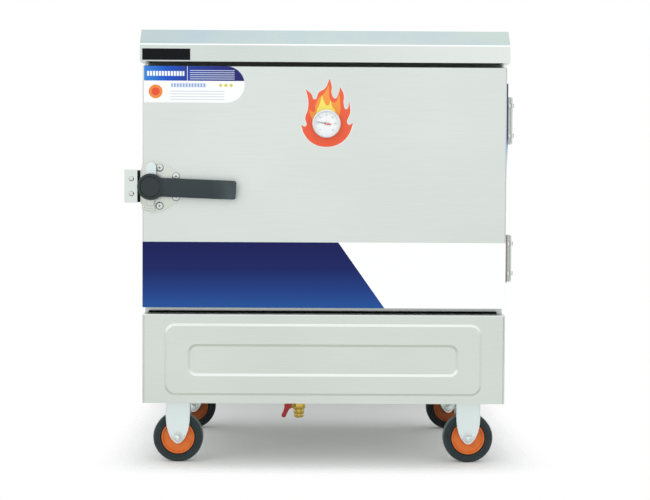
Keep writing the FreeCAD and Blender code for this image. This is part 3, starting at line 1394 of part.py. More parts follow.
def door_outer_skin():
    """Door pan with rounded edges, open at the back."""
    outer = rounded_block((minus(SIDE), SIDE), (FRONT, DOOR_BACK), (DOOR_BOTTOM, DOOR_TOP), "door_corner")
    inner = rounded_block(
        (minus(INNER_SIDE), INNER_SIDE),
        (f"({FRONT} + panel_sheet)", f"({DOOR_BACK} + 1)"),
        (f"({DOOR_BOTTOM} + panel_sheet)", f"({DOOR_TOP} - panel_sheet)"),
        "door_corner - panel_sheet",
    )
    through = (f"{FRONT} - 1", f"{FRONT} + 3")
    holes = [rod("y", "screw_radius", through, point) for point in LATCH_SCREWS]
    holes.append(rod("y", "spindle_radius + hole_clearance", through, (LATCH_X, LATCH_Z)))
    holes.append(rod("y", "stem_radius + hole_clearance", through, ("thermometer_offset", DIAL_Z)))
    for level in HINGE_LEVELS:
        for step in (-1, 1):
            point = (f"{LEAF_END} - hinge_leaf_width * 0.55", f"{level} + {step} * {HINGE_SCREW_Z}")
            holes.append(rod("x", "screw_radius", (f"{SIDE} - 3", f"{SIDE} + 1"), point))
    keep("door_outer_skin", cut("door_outer_skin", outer, [inner] + holes))


LEAF_END = f"({HINGE_Y} - hinge_barrel_radius - 3 * running_clearance)"
DIAL_Z = f"({DOOR_BOTTOM} + thermometer_height)"
SPINDLE_END = f"({FRONT} + door_thickness * 0.45)"
LATCH_SCREWS = [
    (f"{LATCH_X} + latch_screw_{which}_x", f"{LATCH_Z} + {side} * latch_screw_{which}_z")
    for which in ("near", "far") for side in (-1, 1)
]
FIELD_X = "(cabinet_width / 2 - inner_recess_margin)"
FIELD_Z = (f"{DOOR_BOTTOM} + inner_recess_margin", f"{DOOR_TOP} - inner_recess_margin")
INNER_DOOR = (minus(INNER_SIDE), INNER_SIDE), (f"{DOOR_BOTTOM} + panel_sheet", f"{DOOR_TOP} - panel_sheet")


def inner_field(level):
    return field_form(level, (about_middle(FIELD_X), FIELD_Z), "inner_recess + panel_sheet", "emboss_corner")


def door_inner_skin():
    """Inner face of the door, with a shallow field pressed toward the outer skin."""
    plate = new_body("inner_plate")
    outline = rounded_rectangle(*INNER_DOOR, "door_corner - panel_sheet")
    pad_outline(plate, "XZ_Plane", f"({DOOR_BACK} - panel_sheet)", outline, "panel_sheet", backward=True)
    form = fuse("inner_form", [plate, inner_field(DOOR_BACK)])
    probe_span = (f"{DOOR_BACK} - 20", f"{DOOR_BACK} + 1")
    probe = rod("y", "stem_radius + hole_clearance", probe_span, ("thermometer_offset", DIAL_Z))
    field = inner_field(f"({DOOR_BACK} + panel_sheet)")
    keep("door_inner_skin", cut("door_inner_skin", form, [field, probe]))


def door_insulation():
    """Mineral wool that fills the door."""
    inset = "door_corner"
    outer = block(
        (f"{inset} - {SIDE}", f"{SIDE} - {inset}"),
        (f"{FRONT} + panel_sheet", f"{DOOR_BACK} - panel_sheet"),
        (f"{DOOR_BOTTOM} + {inset}", f"{DOOR_TOP} - {inset}"),
    )
    probe = rod("y", "stem_radius + hole_clearance", (FRONT, DOOR_BACK), ("thermometer_offset", DIAL_Z))
    spindle = rod("y", "spindle_radius + 3", (FRONT, f"{SPINDLE_END} + 3"), (LATCH_X, LATCH_Z))
    field = inner_field(DOOR_BACK)
    keep("door_insulation", cut("door_insulation", outer, [probe, spindle, field]))


def door_gasket():
    """Hollow-faced rubber frame that closes the gap round the mouth."""
    body = new_body("door_gasket")
    middle = f"(({MOUTH_BOTTOM} + {MOUTH_TOP}) / 2)"
    inner_x = f"({CHAMBER_SIDE} + gasket_inset)"
    inner_z = "(mouth_height / 2 + gasket_inset)"
    outer_x = f"({inner_x} + gasket_width)"
    outer_z = f"({inner_z} + gasket_width)"
    sketch = new_sketch(body, "XY_Plane", "0")
    outer_radius = "mouth_corner + gasket_inset + gasket_width"
    draw(sketch, rounded_rectangle(about_middle(outer_x), about_middle(outer_z), outer_radius))
    inner_radius = "mouth_corner + gasket_inset"
    draw(sketch, rounded_rectangle(about_middle(inner_x), about_middle(inner_z), inner_radius))
    solid = pad(body, sketch, "seal_gap - soft_gap")
    top = value("seal_gap - soft_gap")
    round_edges(body, solid, "gasket_width / 5", lambda edge: edge.BoundBox.ZMin > top - 0.01)
    place(body, ("0", DOOR_BACK, middle), BACKWARD)
    keep("door_gasket", body)


# Latch

def latch_plate():
    """Pressed plate: a round end, a tapering nose and a stepped band under the lever's boss."""
    thickness = (f"{FRONT} - latch_plate_sheet", FRONT)
    centre = (LATCH_X, LATCH_Z)
    nose_x = f"({LATCH_X} + latch_nose_reach)"
    disc = rod("y", "latch_plate_radius", thickness, centre)
    nose = rod("y", "latch_nose_radius", thickness, (nose_x, LATCH_Z))
    lean = "((latch_plate_radius - latch_nose_radius) / latch_nose_reach)"
    rise = f"sqrt(1 - {lean} ^ 2)"
    web = new_body("latch_web")
    flank = [
        (f"{LATCH_X} + latch_plate_radius * {lean}", f"{LATCH_Z} - latch_plate_radius * {rise}"),
        (f"{nose_x} + latch_nose_radius * {lean}", f"{LATCH_Z} - latch_nose_radius * {rise}"),
        (f"{nose_x} + latch_nose_radius * {lean}", f"{LATCH_Z} + latch_nose_radius * {rise}"),
        (f"{LATCH_X} + latch_plate_radius * {lean}", f"{LATCH_Z} + latch_plate_radius * {rise}"),
    ]
    pad_outline(web, "XZ_Plane", FRONT, flank, "latch_plate_sheet")
    steps = []
    for number in range(3):
        level = f"({FRONT} - latch_plate_sheet - {number + 1} * latch_dome_step)"
        inset = f"({number} * latch_dome_tread)"
        disc_step = rod("y", f"latch_plate_radius - latch_dome_edge - {inset}", (level, FRONT), centre)
        band = block(
            (f"{LATCH_X} - latch_dome_left + {inset}", f"{LATCH_X} + latch_dome_right + {2 - number}"),
            (level, FRONT),
            (f"{LATCH_Z} - latch_plate_radius", f"{LATCH_Z} + latch_plate_radius"),
        )
        steps.append(common("dome_step", [disc_step, band]))
    hub_y = (f"{FRONT} - latch_plate_sheet - 3 * latch_dome_step", FRONT)
    hub = rod("y", "lever_boss_radius - 4", hub_y, centre)
    solid = fuse("latch_form", [disc, nose, web, hub] + steps)
    edge = block(
        (f"{LATCH_X} - 2 * latch_plate_radius", minus(f"({SIDE} + latch_plate_lap)")),
        (f"{FRONT} - 30", f"{FRONT} + 1"),
        (f"{LATCH_Z} - latch_plate_radius - 1", f"{LATCH_Z} + latch_plate_radius + 1"),
    )
    holes = [rod("y", "screw_radius", (f"{FRONT} - 20", f"{FRONT} + 1"), point) for point in LATCH_SCREWS]
    bore = rod("y", "spindle_radius + running_clearance", (f"{FRONT} - 30", f"{FRONT} + 1"), centre)
    keep("latch_plate", cut("latch_plate", solid, holes + [bore, edge]))


DOME_FACE = f"({FRONT} - latch_plate_sheet - 3 * latch_dome_step)"
HOOK_BACK = f"({DOME_FACE} - soft_gap)"
HOOK_FACE = f"({HOOK_BACK} - hook_thickness)"
BOSS_FACE = f"({HOOK_FACE} - lever_boss_length)"


def latch_spindle():
    """Spindle through the plate, with the round cap that shows in the lever's boss."""
    centre = (LATCH_X, LATCH_Z)
    pin = rod("y", "spindle_radius", (BOSS_FACE, SPINDLE_END), centre)
    cap = rod("y", "lever_cap_radius", (f"{BOSS_FACE} - 1.5", BOSS_FACE), centre)
    keep("latch_spindle", fuse("latch_spindle", [pin, cap]))


def latch_hook():
    """Flat hook on the spindle. It points up with the lever level and turns behind the keeper."""
    body = new_body("latch_hook")
    half = "(hook_width / 2)"
    end = f"(hook_length - {half})"
    outline = [
        (half, "0"),
        (half, end),
        ("0", "hook_length", half, 1),
        (minus(half), end, half, 1),
        (minus(half), "0"),
        (minus(half), minus(half)),
        (half, minus(half)),
    ]
    pad_outline(body, "XZ_Plane", "0", outline, "hook_thickness")
    drill(body, "XZ_Plane", minus("hook_thickness"), [("0", "0")], "spindle_radius", "hook_thickness")
    place(body, (LATCH_X, HOOK_BACK, LATCH_Z))
    keep("latch_hook", body)


def latch_lever():
    """Moulded lever: a round boss and an arm that bends outward and thins toward its end."""
    front_view = new_body("lever_front")
    half = "(lever_width / 2)"
    arm = rectangle(("0", "lever_length"), (minus(half), half))
    solid = pad_outline(front_view, "XZ_Plane", "0", arm, "lever_boss_length + lever_bow")
    tip = value("lever_length") - 1

    def far_upright(edge):
        return runs_along(edge, Y_AXIS) and edge.CenterOfMass.x > tip

    round_edges(front_view, solid, "lever_width / 5", far_upright)
    top_view = new_body("lever_top")
    low = minus("(lever_boss_length - lever_thickness)")
    high = minus("lever_boss_length")
    bow_low = f"({low} - lever_bow)"
    bow_high = f"({high} - lever_bow)"
    middle = "(lever_length * 0.55)"
    outline = [
        ("0", low),
        ("0", high),
        ("lever_boss_radius", high),
        (middle, bow_high),
        ("lever_length", f"{bow_high} + 3"),
        ("lever_length", f"{bow_low} - 2"),
        (middle, f"{bow_low} - 1"),
        ("lever_boss_radius", low),
    ]
    pad_outline(top_view, "XY_Plane", minus(half), outline, "lever_width")
    bar = common("lever_bar", [front_view, top_view])
    boss = rod("y", "lever_boss_radius", (minus("lever_boss_length"), "0"), ("0", "0"))
    solid = fuse("lever_form", [bar, boss])
    bore = rod("y", "spindle_radius", (minus("lever_boss_length + 1"), "1"), ("0", "0"))
    lever = cut("lever_cut", solid, [bore])
    rounded = doc.addObject("Part::Fillet", "latch_lever")
    rounded.Base = lever
    edges = []
    for number, edge in enumerate(lever.Shape.Edges, 1):
        box = edge.BoundBox
        front = box.YMax < value(high) + 0.01 and box.XLength > 3
        away = box.DiagonalLength > 3 * value("spindle_radius")
        if front and away:
            edges.append((number, 2.5, 2.5))
    rounded.Edges = edges
    doc.recompute()
    place(rounded, (LATCH_X, HOOK_FACE, LATCH_Z), FreeCAD.Rotation(Y_AXIS, value("lever_droop")))
    tie(rounded, "Placement.Rotation.Angle", "lever_droop")
    keep("latch_lever", rounded)


def keeper_bracket():
    """Folded keeper on the cabinet's side. The hook turns in behind its front plate."""
    start = f"({SIDE} + keeper_gap + keeper_plate_width)"
    inner = f"({start} - keeper_sheet)"
    plate_back = f"({HOOK_FACE} - keeper_clearance)"
    body = new_body("keeper_bracket")
    outline = [
        (minus(f"{SIDE} + keeper_gap"), KEEPER_FRONT),
        (minus(f"{SIDE} + keeper_gap"), plate_back),
        (minus(inner), plate_back),
        (minus(inner), KEEPER_LEG),
        (minus(SIDE), KEEPER_LEG),
        (minus(SIDE), f"{KEEPER_LEG} + keeper_sheet + keeper_foot"),
        (minus(f"{SIDE} + keeper_sheet"), f"{KEEPER_LEG} + keeper_sheet + keeper_foot"),
        (minus(f"{SIDE} + keeper_sheet"), f"{KEEPER_LEG} + keeper_sheet"),
        (minus(start), f"{KEEPER_LEG} + keeper_sheet"),
        (minus(start), KEEPER_FRONT),
    ]
    pad_outline(body, "XY_Plane", f"{KEEPER_Z} - keeper_height / 2", outline, "keeper_height")
    holes = [(KEEPER_SCREW_Y, f"{KEEPER_Z} + {step} * keeper_height / 4") for step in (-1, 1)]
    drill(body, "YZ_Plane", minus(SIDE), holes, "screw_radius", "keeper_sheet")
    rivets = [(KEEPER_RIVET_X, f"{KEEPER_Z} + {step} * keeper_rivet_z") for step in (-1, 1)]
    drill(body, "XZ_Plane", KEEPER_FRONT, rivets, "screw_radius", "keeper_sheet")
    keep("keeper_bracket", body)


KEEPER_RIVET_X = minus(f"({SIDE} + keeper_gap + keeper_plate_width * 0.45)")
KEEPER_FRONT = f"({HOOK_FACE} - keeper_clearance - keeper_sheet)"


# Thermometer

def thermometer():
    """Dial thermometer in the door: case, dial, pointer, lens and a probe into the chamber."""
    at = ("thermometer_offset", FRONT, DIAL_Z)
    rim = "thermometer_thickness"
    seat = "(thermometer_thickness * 0.45)"
    case = [
        ("stem_radius", "0"),
        ("thermometer_radius - 2", "0"),
        ("thermometer_radius", "2"),
        ("thermometer_radius", f"{rim} - 2"),
        ("thermometer_radius - 2", rim, "2", 1),
        ("dial_radius", rim),
        ("dial_radius", seat),
        ("stem_radius", seat),
    ]
    keep("thermometer_case", turned("thermometer_case", case, at, FORWARD))
    dial = [
        ("stem_radius", seat),
        ("dial_radius - 0.2", seat),
        ("dial_radius - 0.2", f"{seat} + 0.8"),
        ("stem_radius", f"{seat} + 0.8"),
    ]
    keep("thermometer_dial", turned("thermometer_dial", dial, at, FORWARD))
    glass = [
        ("0", f"{rim} - 2.5"),
        ("dial_radius", f"{rim} - 2.5"),
        ("dial_radius", f"{rim} - 1"),
        ("0", f"{rim} - 1"),
    ]
    keep("thermometer_glass", turned("thermometer_glass", glass, at, FORWARD))
    tip = minus("door_thickness + stem_reach")
    stem = [
        ("0", tip),
        ("stem_radius * 0.6", tip),
        ("stem_radius", f"{tip} + 2"),
        ("stem_radius", f"{seat} + 0.9"),
        ("1", f"{seat} + 0.9"),
        ("1", f"{seat} + 2.4"),
        ("0", f"{seat} + 2.4"),
    ]
    keep("thermometer_stem", turned("thermometer_stem", stem, at, FORWARD))
    needle = new_body("thermometer_pointer")
    level = minus(f"({seat} + 1.2)")
    outline = [
        ("dial_radius * 0.35", "-1.6"),
        ("dial_radius * 0.35", "1.6"),
        ("0", "1.8"),
        ("dial_radius * -0.8", "0.4"),
        ("dial_radius * -0.8", "-0.4"),
        ("0", "-1.8"),
    ]
    pad_outline(needle, "XZ_Plane", level, outline, "0.8")
    drill(needle, "XZ_Plane", minus(f"({seat} + 2)"), [("0", "0")], "1 + running_clearance", "0.8")
    place(needle, at, FreeCAD.Rotation(Y_AXIS, value("pointer_turn")))
    tie(needle, "Placement.Rotation.Angle", "pointer_turn")
    keep("thermometer_pointer", needle)


# Hinges

def hinge_leaf(level, toward_door):
    """Leaf on the outside of the cabinet or the door, curled round the pin."""
    half = "(hinge_height / 2)"
    middle = "(hinge_knuckle / 2)"
    gap = "(hinge_knuckle / 2 + hinge_collar_height + 2 * soft_gap)"
    if toward_door:
        flat_y = (f"{LEAF_END} - hinge_leaf_width", LEAF_END)
        web_y = (f"{LEAF_END} - hinge_leaf_sheet", HINGE_Y)
        spans = [(f"{level} - {middle}", f"{level} + {middle}")]
        bore = "hinge_pin_radius + running_clearance"
    else:
        flat_y = (LEAF_START, f"{LEAF_START} + hinge_leaf_width")
        web_y = (HINGE_Y, f"{LEAF_START} + hinge_leaf_sheet")
        spans = [(f"{level} - {half}", f"{level} - {gap}"), (f"{level} + {gap}", f"{level} + {half}")]
        bore = "hinge_pin_radius"
    web_x = (f"{SIDE} + hinge_leaf_sheet / 2", f"{HINGE_X} - hinge_pin_radius - 1.5")
    items = [block((SIDE, f"{SIDE} + hinge_leaf_sheet"), flat_y, (f"{level} - {half}", f"{level} + {half}"))]
    for span in spans:
        items.append(rod("z", "hinge_barrel_radius", span, (HINGE_X, HINGE_Y)))
        items.append(block(web_x, web_y, span))
    solid = fuse("leaf_form", items)
    side = -1 if toward_door else 1
    anchor = LEAF_END if toward_door else LEAF_START
    screw_y = f"{anchor} + {side} * hinge_leaf_width * 0.55"
    holes = []
    for step in (-1, 1):
        centre = (screw_y, f"{level} + {step} * {HINGE_SCREW_Z}")
        holes.append(rod("x", "screw_radius", (f"{SIDE} - 1", f"{SIDE} + 10"), centre))
    pin = rod("z", bore, (f"{level} - {half} - 1", f"{level} + {half} + 1"), (HINGE_X, HINGE_Y))
    return cut("hinge_leaf", solid, holes + [pin])


def hinge_pin(level):
    """Pin with a domed head at each end."""
    half = "(hinge_height / 2)"
    ends = (f"{level} - {half} - 2", f"{level} + {half} + 2")
    shank = rod("z", "hinge_pin_radius", ends, (HINGE_X, HINGE_Y))
    upper = (f"{level} + {half}", f"{level} + {half} + 2")
    lower = (f"{level} - {half} - 2", f"{level} - {half}")
    heads = [rod("z", "hinge_barrel_radius * 0.75", span, (HINGE_X, HINGE_Y)) for span in (upper, lower)]
    return fuse("hinge_pin", [shank] + heads)


def hinge_collar(level, step):
    near = f"({level} + {step} * (hinge_knuckle / 2 + soft_gap))"
    low = near if step > 0 else f"({near} - hinge_collar_height)"
    span = (low, f"{low} + hinge_collar_height")
    ring_form = rod("z", "hinge_collar_radius", span, (HINGE_X, HINGE_Y))
    hole = rod("z", "hinge_pin_radius", (f"{span[0]} - 1", f"{span[1]} + 1"), (HINGE_X, HINGE_Y))
    return cut("collar", ring_form, [hole])


def hinges():
    for name, toward_door in (("hinge_door_leaves", True), ("hinge_frame_leaves", False)):
        leaves = [hinge_leaf(level, toward_door) for level in HINGE_LEVELS]
        keep(name, group(name, leaves))
    lid_span = (f"{TANK_LEFT} - 2 * tank_sheet", f"{TANK_RIGHT} + 2 * tank_sheet")
    lid_pin = rod("x", "lid_pin_radius", lid_span, (LID_Y, LID_Z))
    pins = [hinge_pin(level) for level in HINGE_LEVELS] + [lid_pin]
    keep("hinge_pins", group("hinge_pins", pins))
    collars = [hinge_collar(level, step) for level in HINGE_LEVELS for step in (-1, 1)]
    keep("hinge_collars", group("hinge_collars", collars))


def fasteners():
    leaf_face = f"({SIDE} + hinge_leaf_sheet)"
    grip = "(hinge_leaf_sheet + panel_sheet)"
    door = []
    frame = []
    for level in HINGE_LEVELS:
        for step in (-1, 1):
            height = f"{level} + {step} * {HINGE_SCREW_Z}"
            on_door = (leaf_face, f"{LEAF_END} - hinge_leaf_width * 0.55", height)
            on_frame = (leaf_face, f"{LEAF_START} + hinge_leaf_width * 0.55", height)
            door.append(screw(on_door, RIGHT, grip=grip))
            frame.append(screw(on_frame, RIGHT, grip=grip))
    face = f"({FRONT} - latch_plate_sheet)"
    grip = "(latch_plate_sheet + panel_sheet)"
    for x, z in LATCH_SCREWS:
        door.append(screw((x, face, z), FORWARD, head_radius="plate_screw_head_radius", grip=grip))
    for step in (-1, 1):
        height = f"{KEEPER_Z} + {step} * keeper_height / 4"
        at = (minus(f"({SIDE} + keeper_sheet)"), KEEPER_SCREW_Y, height)
        frame.append(screw(at, LEFT, grip="(keeper_sheet + panel_sheet)"))
        rivet = (KEEPER_RIVET_X, KEEPER_FRONT, f"{KEEPER_Z} + {step} * keeper_rivet_z")
        frame.append(screw(rivet, FORWARD, grip="keeper_sheet"))
    keep("door_screws", group("door_screws", door))
    keep("frame_screws", group("frame_screws", frame))


top_cover()
side_panels()
back_panel()
front_frame()
inner_liner()
cabinet_insulation()
base_front_panel()
base_tray()
casters()
trays()
keep("left_tray_rack", tray_rack("left_tray_rack", -1))
keep("right_tray_rack", tray_rack("right_tray_rack", 1))
steam_baffle()
keep("heating_elements", group("heating_elements", [heating_element(middle) for middle in HEATER_XS]))
terminal_cover()
cable_gland()
feed_tank()
feed_tank_lid()
float_valve()
float_arm_and_ball()
link_pipe()
vent_pipe()
drain_pipe()
drain_valve_body()
drain_valve_stem()
drain_valve_handle()
door_outer_skin()
door_inner_skin()
door_insulation()
door_gasket()
latch_plate()
latch_spindle()
latch_hook()
latch_lever()
keeper_bracket()
thermometer()
hinges()
fasteners()

doc.recompute()
for item in doc.Objects:
    if "Invalid" in item.State or "Error" in item.State:
        raise ValueError(f"{item.Label} did not build: {item.State}")
for label, item in PARTS.items():
    if item.Shape.isNull() or not item.Shape.isValid() or not item.Shape.Solids:
        raise ValueError(f"{label} is not a valid solid")

os.makedirs("parts", exist_ok=True)
for label, item in PARTS.items():
    item.Shape.exportStep(f"parts/{label}.step")
print(len(PARTS), "nodes written")
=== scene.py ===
# %% [markdown]
# Dressing a rice steamer. The cabinet, its door, latch, wheels and plumbing come from the CAD
# model at their true size. This lesson gives each of them a finish, and adds what a maker puts on
# last: the plate, the printed films, the dial's marks and the screws, and dark strips of painted
# shade in the slots. Eight pieces that need finer work than their solids have, such as the lever
# and the valve's body, are made anew.

# %% Load the CAD frame
import math

import bpy
from mathutils import Matrix, Vector


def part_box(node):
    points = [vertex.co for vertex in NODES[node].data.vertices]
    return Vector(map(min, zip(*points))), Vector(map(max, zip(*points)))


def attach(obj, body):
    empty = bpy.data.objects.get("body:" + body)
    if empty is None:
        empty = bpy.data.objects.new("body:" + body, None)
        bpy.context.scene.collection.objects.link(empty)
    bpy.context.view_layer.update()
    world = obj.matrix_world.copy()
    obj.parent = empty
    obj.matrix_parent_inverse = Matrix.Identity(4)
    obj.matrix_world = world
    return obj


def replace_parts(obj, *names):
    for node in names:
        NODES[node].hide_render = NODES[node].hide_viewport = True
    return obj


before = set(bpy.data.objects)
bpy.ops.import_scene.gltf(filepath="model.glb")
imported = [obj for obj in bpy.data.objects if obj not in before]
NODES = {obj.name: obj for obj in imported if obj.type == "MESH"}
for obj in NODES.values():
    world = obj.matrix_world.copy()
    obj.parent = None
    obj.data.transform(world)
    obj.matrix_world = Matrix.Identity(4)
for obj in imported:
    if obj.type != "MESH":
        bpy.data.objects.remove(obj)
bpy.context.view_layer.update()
MM = 0.001

# %% [markdown]
# The camera stands where the photograph was taken from: three and three quarter metres from the
# middle of the cabinet, as high as the middle of its door, turned right by less than a degree and
# tilted down by two. Its place and long lens were fitted to the edges, the wheels and the valve.

# %% Camera
CAMERA_PLACE = (-0.03707, -3.74484, 0.5582)
PAN, TILT, ROLL = math.radians(-0.642), math.radians(90 - 2.128), math.radians(0.294)
camera = bpy.data.cameras.new("photo_camera")
camera.sensor_width = 36
camera.lens = 96.127
view = bpy.data.objects.new("photo_camera", camera)
bpy.context.scene.collection.objects.link(view)
aim = Matrix.Rotation(PAN, 4, "Z") @ Matrix.Rotation(TILT, 4, "X") @ Matrix.Rotation(ROLL, 4, "Z")
view.matrix_world = Matrix.Translation(CAMERA_PLACE) @ aim
bpy.context.scene.camera = view
print("camera at", tuple(round(c, 3) for c in view.location), "lens", round(camera.lens, 1))

# %% [markdown]
# A shader could be built by linking nodes one at a time, but a sum is easier to read than a web
# of links. This small class wraps a socket and lends it the arithmetic signs, so that an
# expression adds its own maths nodes.

# %% Signals
class Signal:
    """A socket of a node tree that can be added, multiplied and compared."""

    def __init__(self, finish, socket):
        self.finish = finish
        self.socket = socket

    def calc(self, operation, *others):
        """A maths node on this signal and, where it takes more, on others."""
        values = dict(enumerate((self, *others)))
        return self.finish.node("ShaderNodeMath", {"operation": operation}, values)

    def __add__(self, other):
        return self.calc("ADD", other)

    __radd__ = __add__

    def __sub__(self, other):
        return self.calc("SUBTRACT", other)

    def __rsub__(self, other):
        return self * -1 + other

    def __mul__(self, other):
        return self.calc("MULTIPLY", other)

    __rmul__ = __mul__

    def __truediv__(self, other):
        return self.calc("DIVIDE", other)

    def __gt__(self, other):
        return self.calc("GREATER_THAN", other)

    def __lt__(self, other):
        return self.calc("LESS_THAN", other)


print("a signal may stand on the right in", [name.strip("_") for name in vars(Signal) if name[:3] == "__r"])

# %% [markdown]
# A finish is a material on the Principled shader. One method makes any node from its type, its
# settings and its inputs, and a few short names cover the nodes that every finish needs. Patterns
# lie in the piece's own space, so they have no seams and stay on it when it moves.

# %% Finishes
class Finish:
    """A material whose nodes are made one call at a time."""

    def __init__(self, name, **fixed):
        self.material = bpy.data.materials.new(name)
        self.material.use_nodes = True
        self.tree = self.material.node_tree
        self.surface = self.tree.nodes["Principled BSDF"]
        for socket, value in fixed.items():
            self.surface.inputs[socket.replace("_", " ")].default_value = value

    def node(self, kind, settings, values, output=0):
        """Any node, and the signal that comes out of one of its sockets."""
        made = self.tree.nodes.new(kind)
        for name, setting in settings.items():
            if name == "stops":
                self.set_stops(made.color_ramp, setting)
            else:
                setattr(made, name, setting)
        for key, value in values.items():
            if isinstance(value, Signal):
                self.tree.links.new(value.socket, made.inputs[key])
            else:
                made.inputs[key].default_value = value
        return Signal(self, made.outputs[output])

    def set_stops(self, ramp, stops):
        while len(ramp.elements) < len(stops):
            ramp.elements.new(0.5)
        for element, (place, colour) in zip(ramp.elements, stops):
            element.position = place
            element.color = colour

    def feed(self, socket, signal):
        """Let a signal drive one socket of the surface."""
        self.tree.links.new(signal.socket, self.surface.inputs[socket])

    def fed(self, socket):
        """What feeds a socket so far."""
        return Signal(self, self.surface.inputs[socket].links[0].from_socket)

    def axis(self, letter, space="Object"):
        """One of the piece's own coordinates, or of another space such as its normal."""
        own = self.node("ShaderNodeTexCoord", {}, {}, space)
        return self.node("ShaderNodeSeparateXYZ", {}, {0: own}, letter.upper())

    def noise(self, scale, detail=3.0, stretch=(1, 1, 1), rough=0.55):
        """Clouds in the piece's own space, finer along an axis that is stretched."""
        own = self.node("ShaderNodeTexCoord", {}, {}, "Object")
        place = self.node("ShaderNodeVectorMath", {"operation": "MULTIPLY"}, {0: own, 1: stretch})
        values = {"Vector": place, "Scale": scale, "Detail": detail, "Roughness": rough}
        return self.node("ShaderNodeTexNoise", {}, values)

    def mix(self, mask, first, second):
        """Second colour where the mask is one, first where it is nought."""
        return self.node("ShaderNodeMix", {"data_type": "RGBA"}, {0: mask, 6: first, 7: second}, 2)

    def ramp(self, value, start, end, low=0.0, high=1.0, kind="LINEAR"):
        """Low up to the start, high from the end on, and a slope between them."""
        limits = {0: value, 1: start, 2: end, 3: low, 4: high}
        return self.node("ShaderNodeMapRange", {"interpolation_type": kind}, limits)

    def colours(self, value, *stops):
        """Colours that follow each other as a value goes from nought to one."""
        return self.node("ShaderNodeValToRGB", {"stops": stops}, {0: value})

    def relief(self, height, strength, distance):
        """Let a signal stand for small heights in the surface."""
        bump = self.node("ShaderNodeBump", {}, {"Strength": strength, "Distance": distance, "Height": height})
        self.feed("Normal", bump)


print("a finish can", [name for name in vars(Finish) if not name.startswith("_")])

# %% [markdown]
# The colours below were picked off a screen, which stores them brighter than the light they stand
# for. This turns them back into amounts of light, which is what a shader counts in.

# %% Colours off a screen
def linear(red, green, blue):
    """A colour picked off a screen, 0 to 255, as the shader wants it."""
    levels = []
    for shown in (red, green, blue):
        bright = ((shown / 255 + 0.055) / 1.055) ** 2.4
        levels.append(bright if shown > 10 else shown / 255 / 12.92)
    return (*levels, 1.0)


print("half grey on a screen is", round(linear(128, 128, 128)[0], 3), "of the light of white")

# %% [markdown]
# Sheet steel for kitchens is brushed: fine scratches run one way, and the sheet reflects the room
# in long soft streaks. A picture could be laid on it, but noise that is stretched eighty times
# along one axis has no seams and no size. It moves the colour by a few percent, the roughness by
# more, and lifts the surface by microns.

# %% Brushed steel
def toned(colour, share):
    """The same colour made darker or lighter, and never brighter than white."""
    return tuple(min(level * share, 1.0) for level in colour[:3]) + (1.0,)


def brushed(name, colour, grain, roughness=0.34, strength=0.06, blotch=0.05):
    """Steel with its scratches along the axis whose grain number is small."""
    steel = Finish(name, Metallic=1.0)
    scratches = steel.noise(9.0, 4.0, grain, 0.6)
    clouds = steel.noise(3.2, 2.0)
    shade = scratches * 0.45 + clouds * 0.55
    tone = steel.ramp(shade, 0.35, 0.65)
    steel.feed("Base Color", steel.mix(tone, toned(colour, 1 - blotch), toned(colour, 1 + blotch)))
    steel.feed("Roughness", scratches * 0.16 + clouds * 0.08 + (roughness - 0.12))
    steel.relief(scratches, strength, 0.0004)
    return steel


ALONG_X = (2.0, 160.0, 160.0)
ALONG_Y = (160.0, 2.0, 160.0)
ALONG_Z = (160.0, 160.0, 2.0)
door_steel = brushed("door_steel", linear(225, 230, 226), ALONG_X)
base_steel = brushed("base_steel", linear(216, 221, 215), ALONG_X)
side_steel = brushed("side_steel", linear(214, 219, 216), ALONG_Y)
back_steel = brushed("back_steel", linear(208, 213, 210), ALONG_X)
liner_steel = brushed("liner_steel", linear(205, 209, 206), ALONG_Z, roughness=0.30, blotch=0.07)
tray_steel = brushed("tray_steel", linear(214, 217, 215), ALONG_X, roughness=0.24, blotch=0.04)
print("brushed steels:", [m.name for m in bpy.data.materials if m.name.endswith("steel")])

# %% [markdown]
# The cover's sheet bends over the lip along one sharp line, which has a painted highlight. Its
# slope has a painted reflection of what is above it, in large bluish clouds, with painted shade at
# its left end, and the right part of the lip has painted light. All could be finishes of their own,
# but as masks over one brushed finish they let the grain run on across the bend.

# %% Steel of the top cover
BEND_Z = 834.0 * MM


def worn_hood():
    """A painted reflection of the sky on the slope, the lip plain but for painted light on its right part,
    and a painted highlight along the bend.
    """
    steel = brushed("hood_steel", linear(214, 221, 217), ALONG_X, roughness=0.30)
    plain = steel.fed("Base Color")
    x, z = steel.axis("x"), steel.axis("z")
    clouds = steel.ramp(steel.noise(6.5, 3.0), 0.44, 0.66, high=0.9)
    # Painted reflection of the sky on the slope, in bluish clouds.
    painted_sky = steel.mix(clouds, linear(191, 202, 199), linear(180, 196, 206))
    # Painted shade on the slope's left end.
    left_end = (x * -2.2 - 0.25).calc("MAXIMUM", 0.0)
    painted_sky = steel.mix(left_end, painted_sky, linear(172, 186, 190))
    tone = steel.mix(z > BEND_Z, plain, painted_sky)
    # Painted light on the right part of the lip.
    right_lip = (x * 1.1 + 0.2) * (z < BEND_Z)
    tone = steel.mix(right_lip.calc("MAXIMUM", 0.0), tone, linear(244, 245, 242))
    # Painted highlight along the bend.
    bend = (z - BEND_Z - 0.0006).calc("ABSOLUTE") < 0.0014
    steel.feed("Base Color", steel.mix(bend * 0.9, tone, linear(252, 254, 252)))
    return steel


hood_steel = worn_hood()
print("the cover's bend is bright at", BEND_Z)

# %% [markdown]
# Zinc-plated and polished fittings and the brass valve have no grain. Fine pits and faint clouds
# keep them from looking like mirrors, and one function makes them all, from rough to bright.

# %% Plated and polished metals
def plated(name, colour, roughness, pits=0.04):
    """Metal with no grain, faintly clouded and pitted."""
    metal = Finish(name, Metallic=1.0)
    clouds = metal.noise(22.0, 3.0)
    grains = metal.noise(420.0, 2.0)
    metal.feed("Base Color", metal.mix(clouds * 0.7 + grains * 0.3, toned(colour, 0.86), colour))
    metal.feed("Roughness", clouds * 0.14 + grains * 0.08 + (roughness - 0.11))
    metal.relief(grains, pits, 0.0003)
    return metal


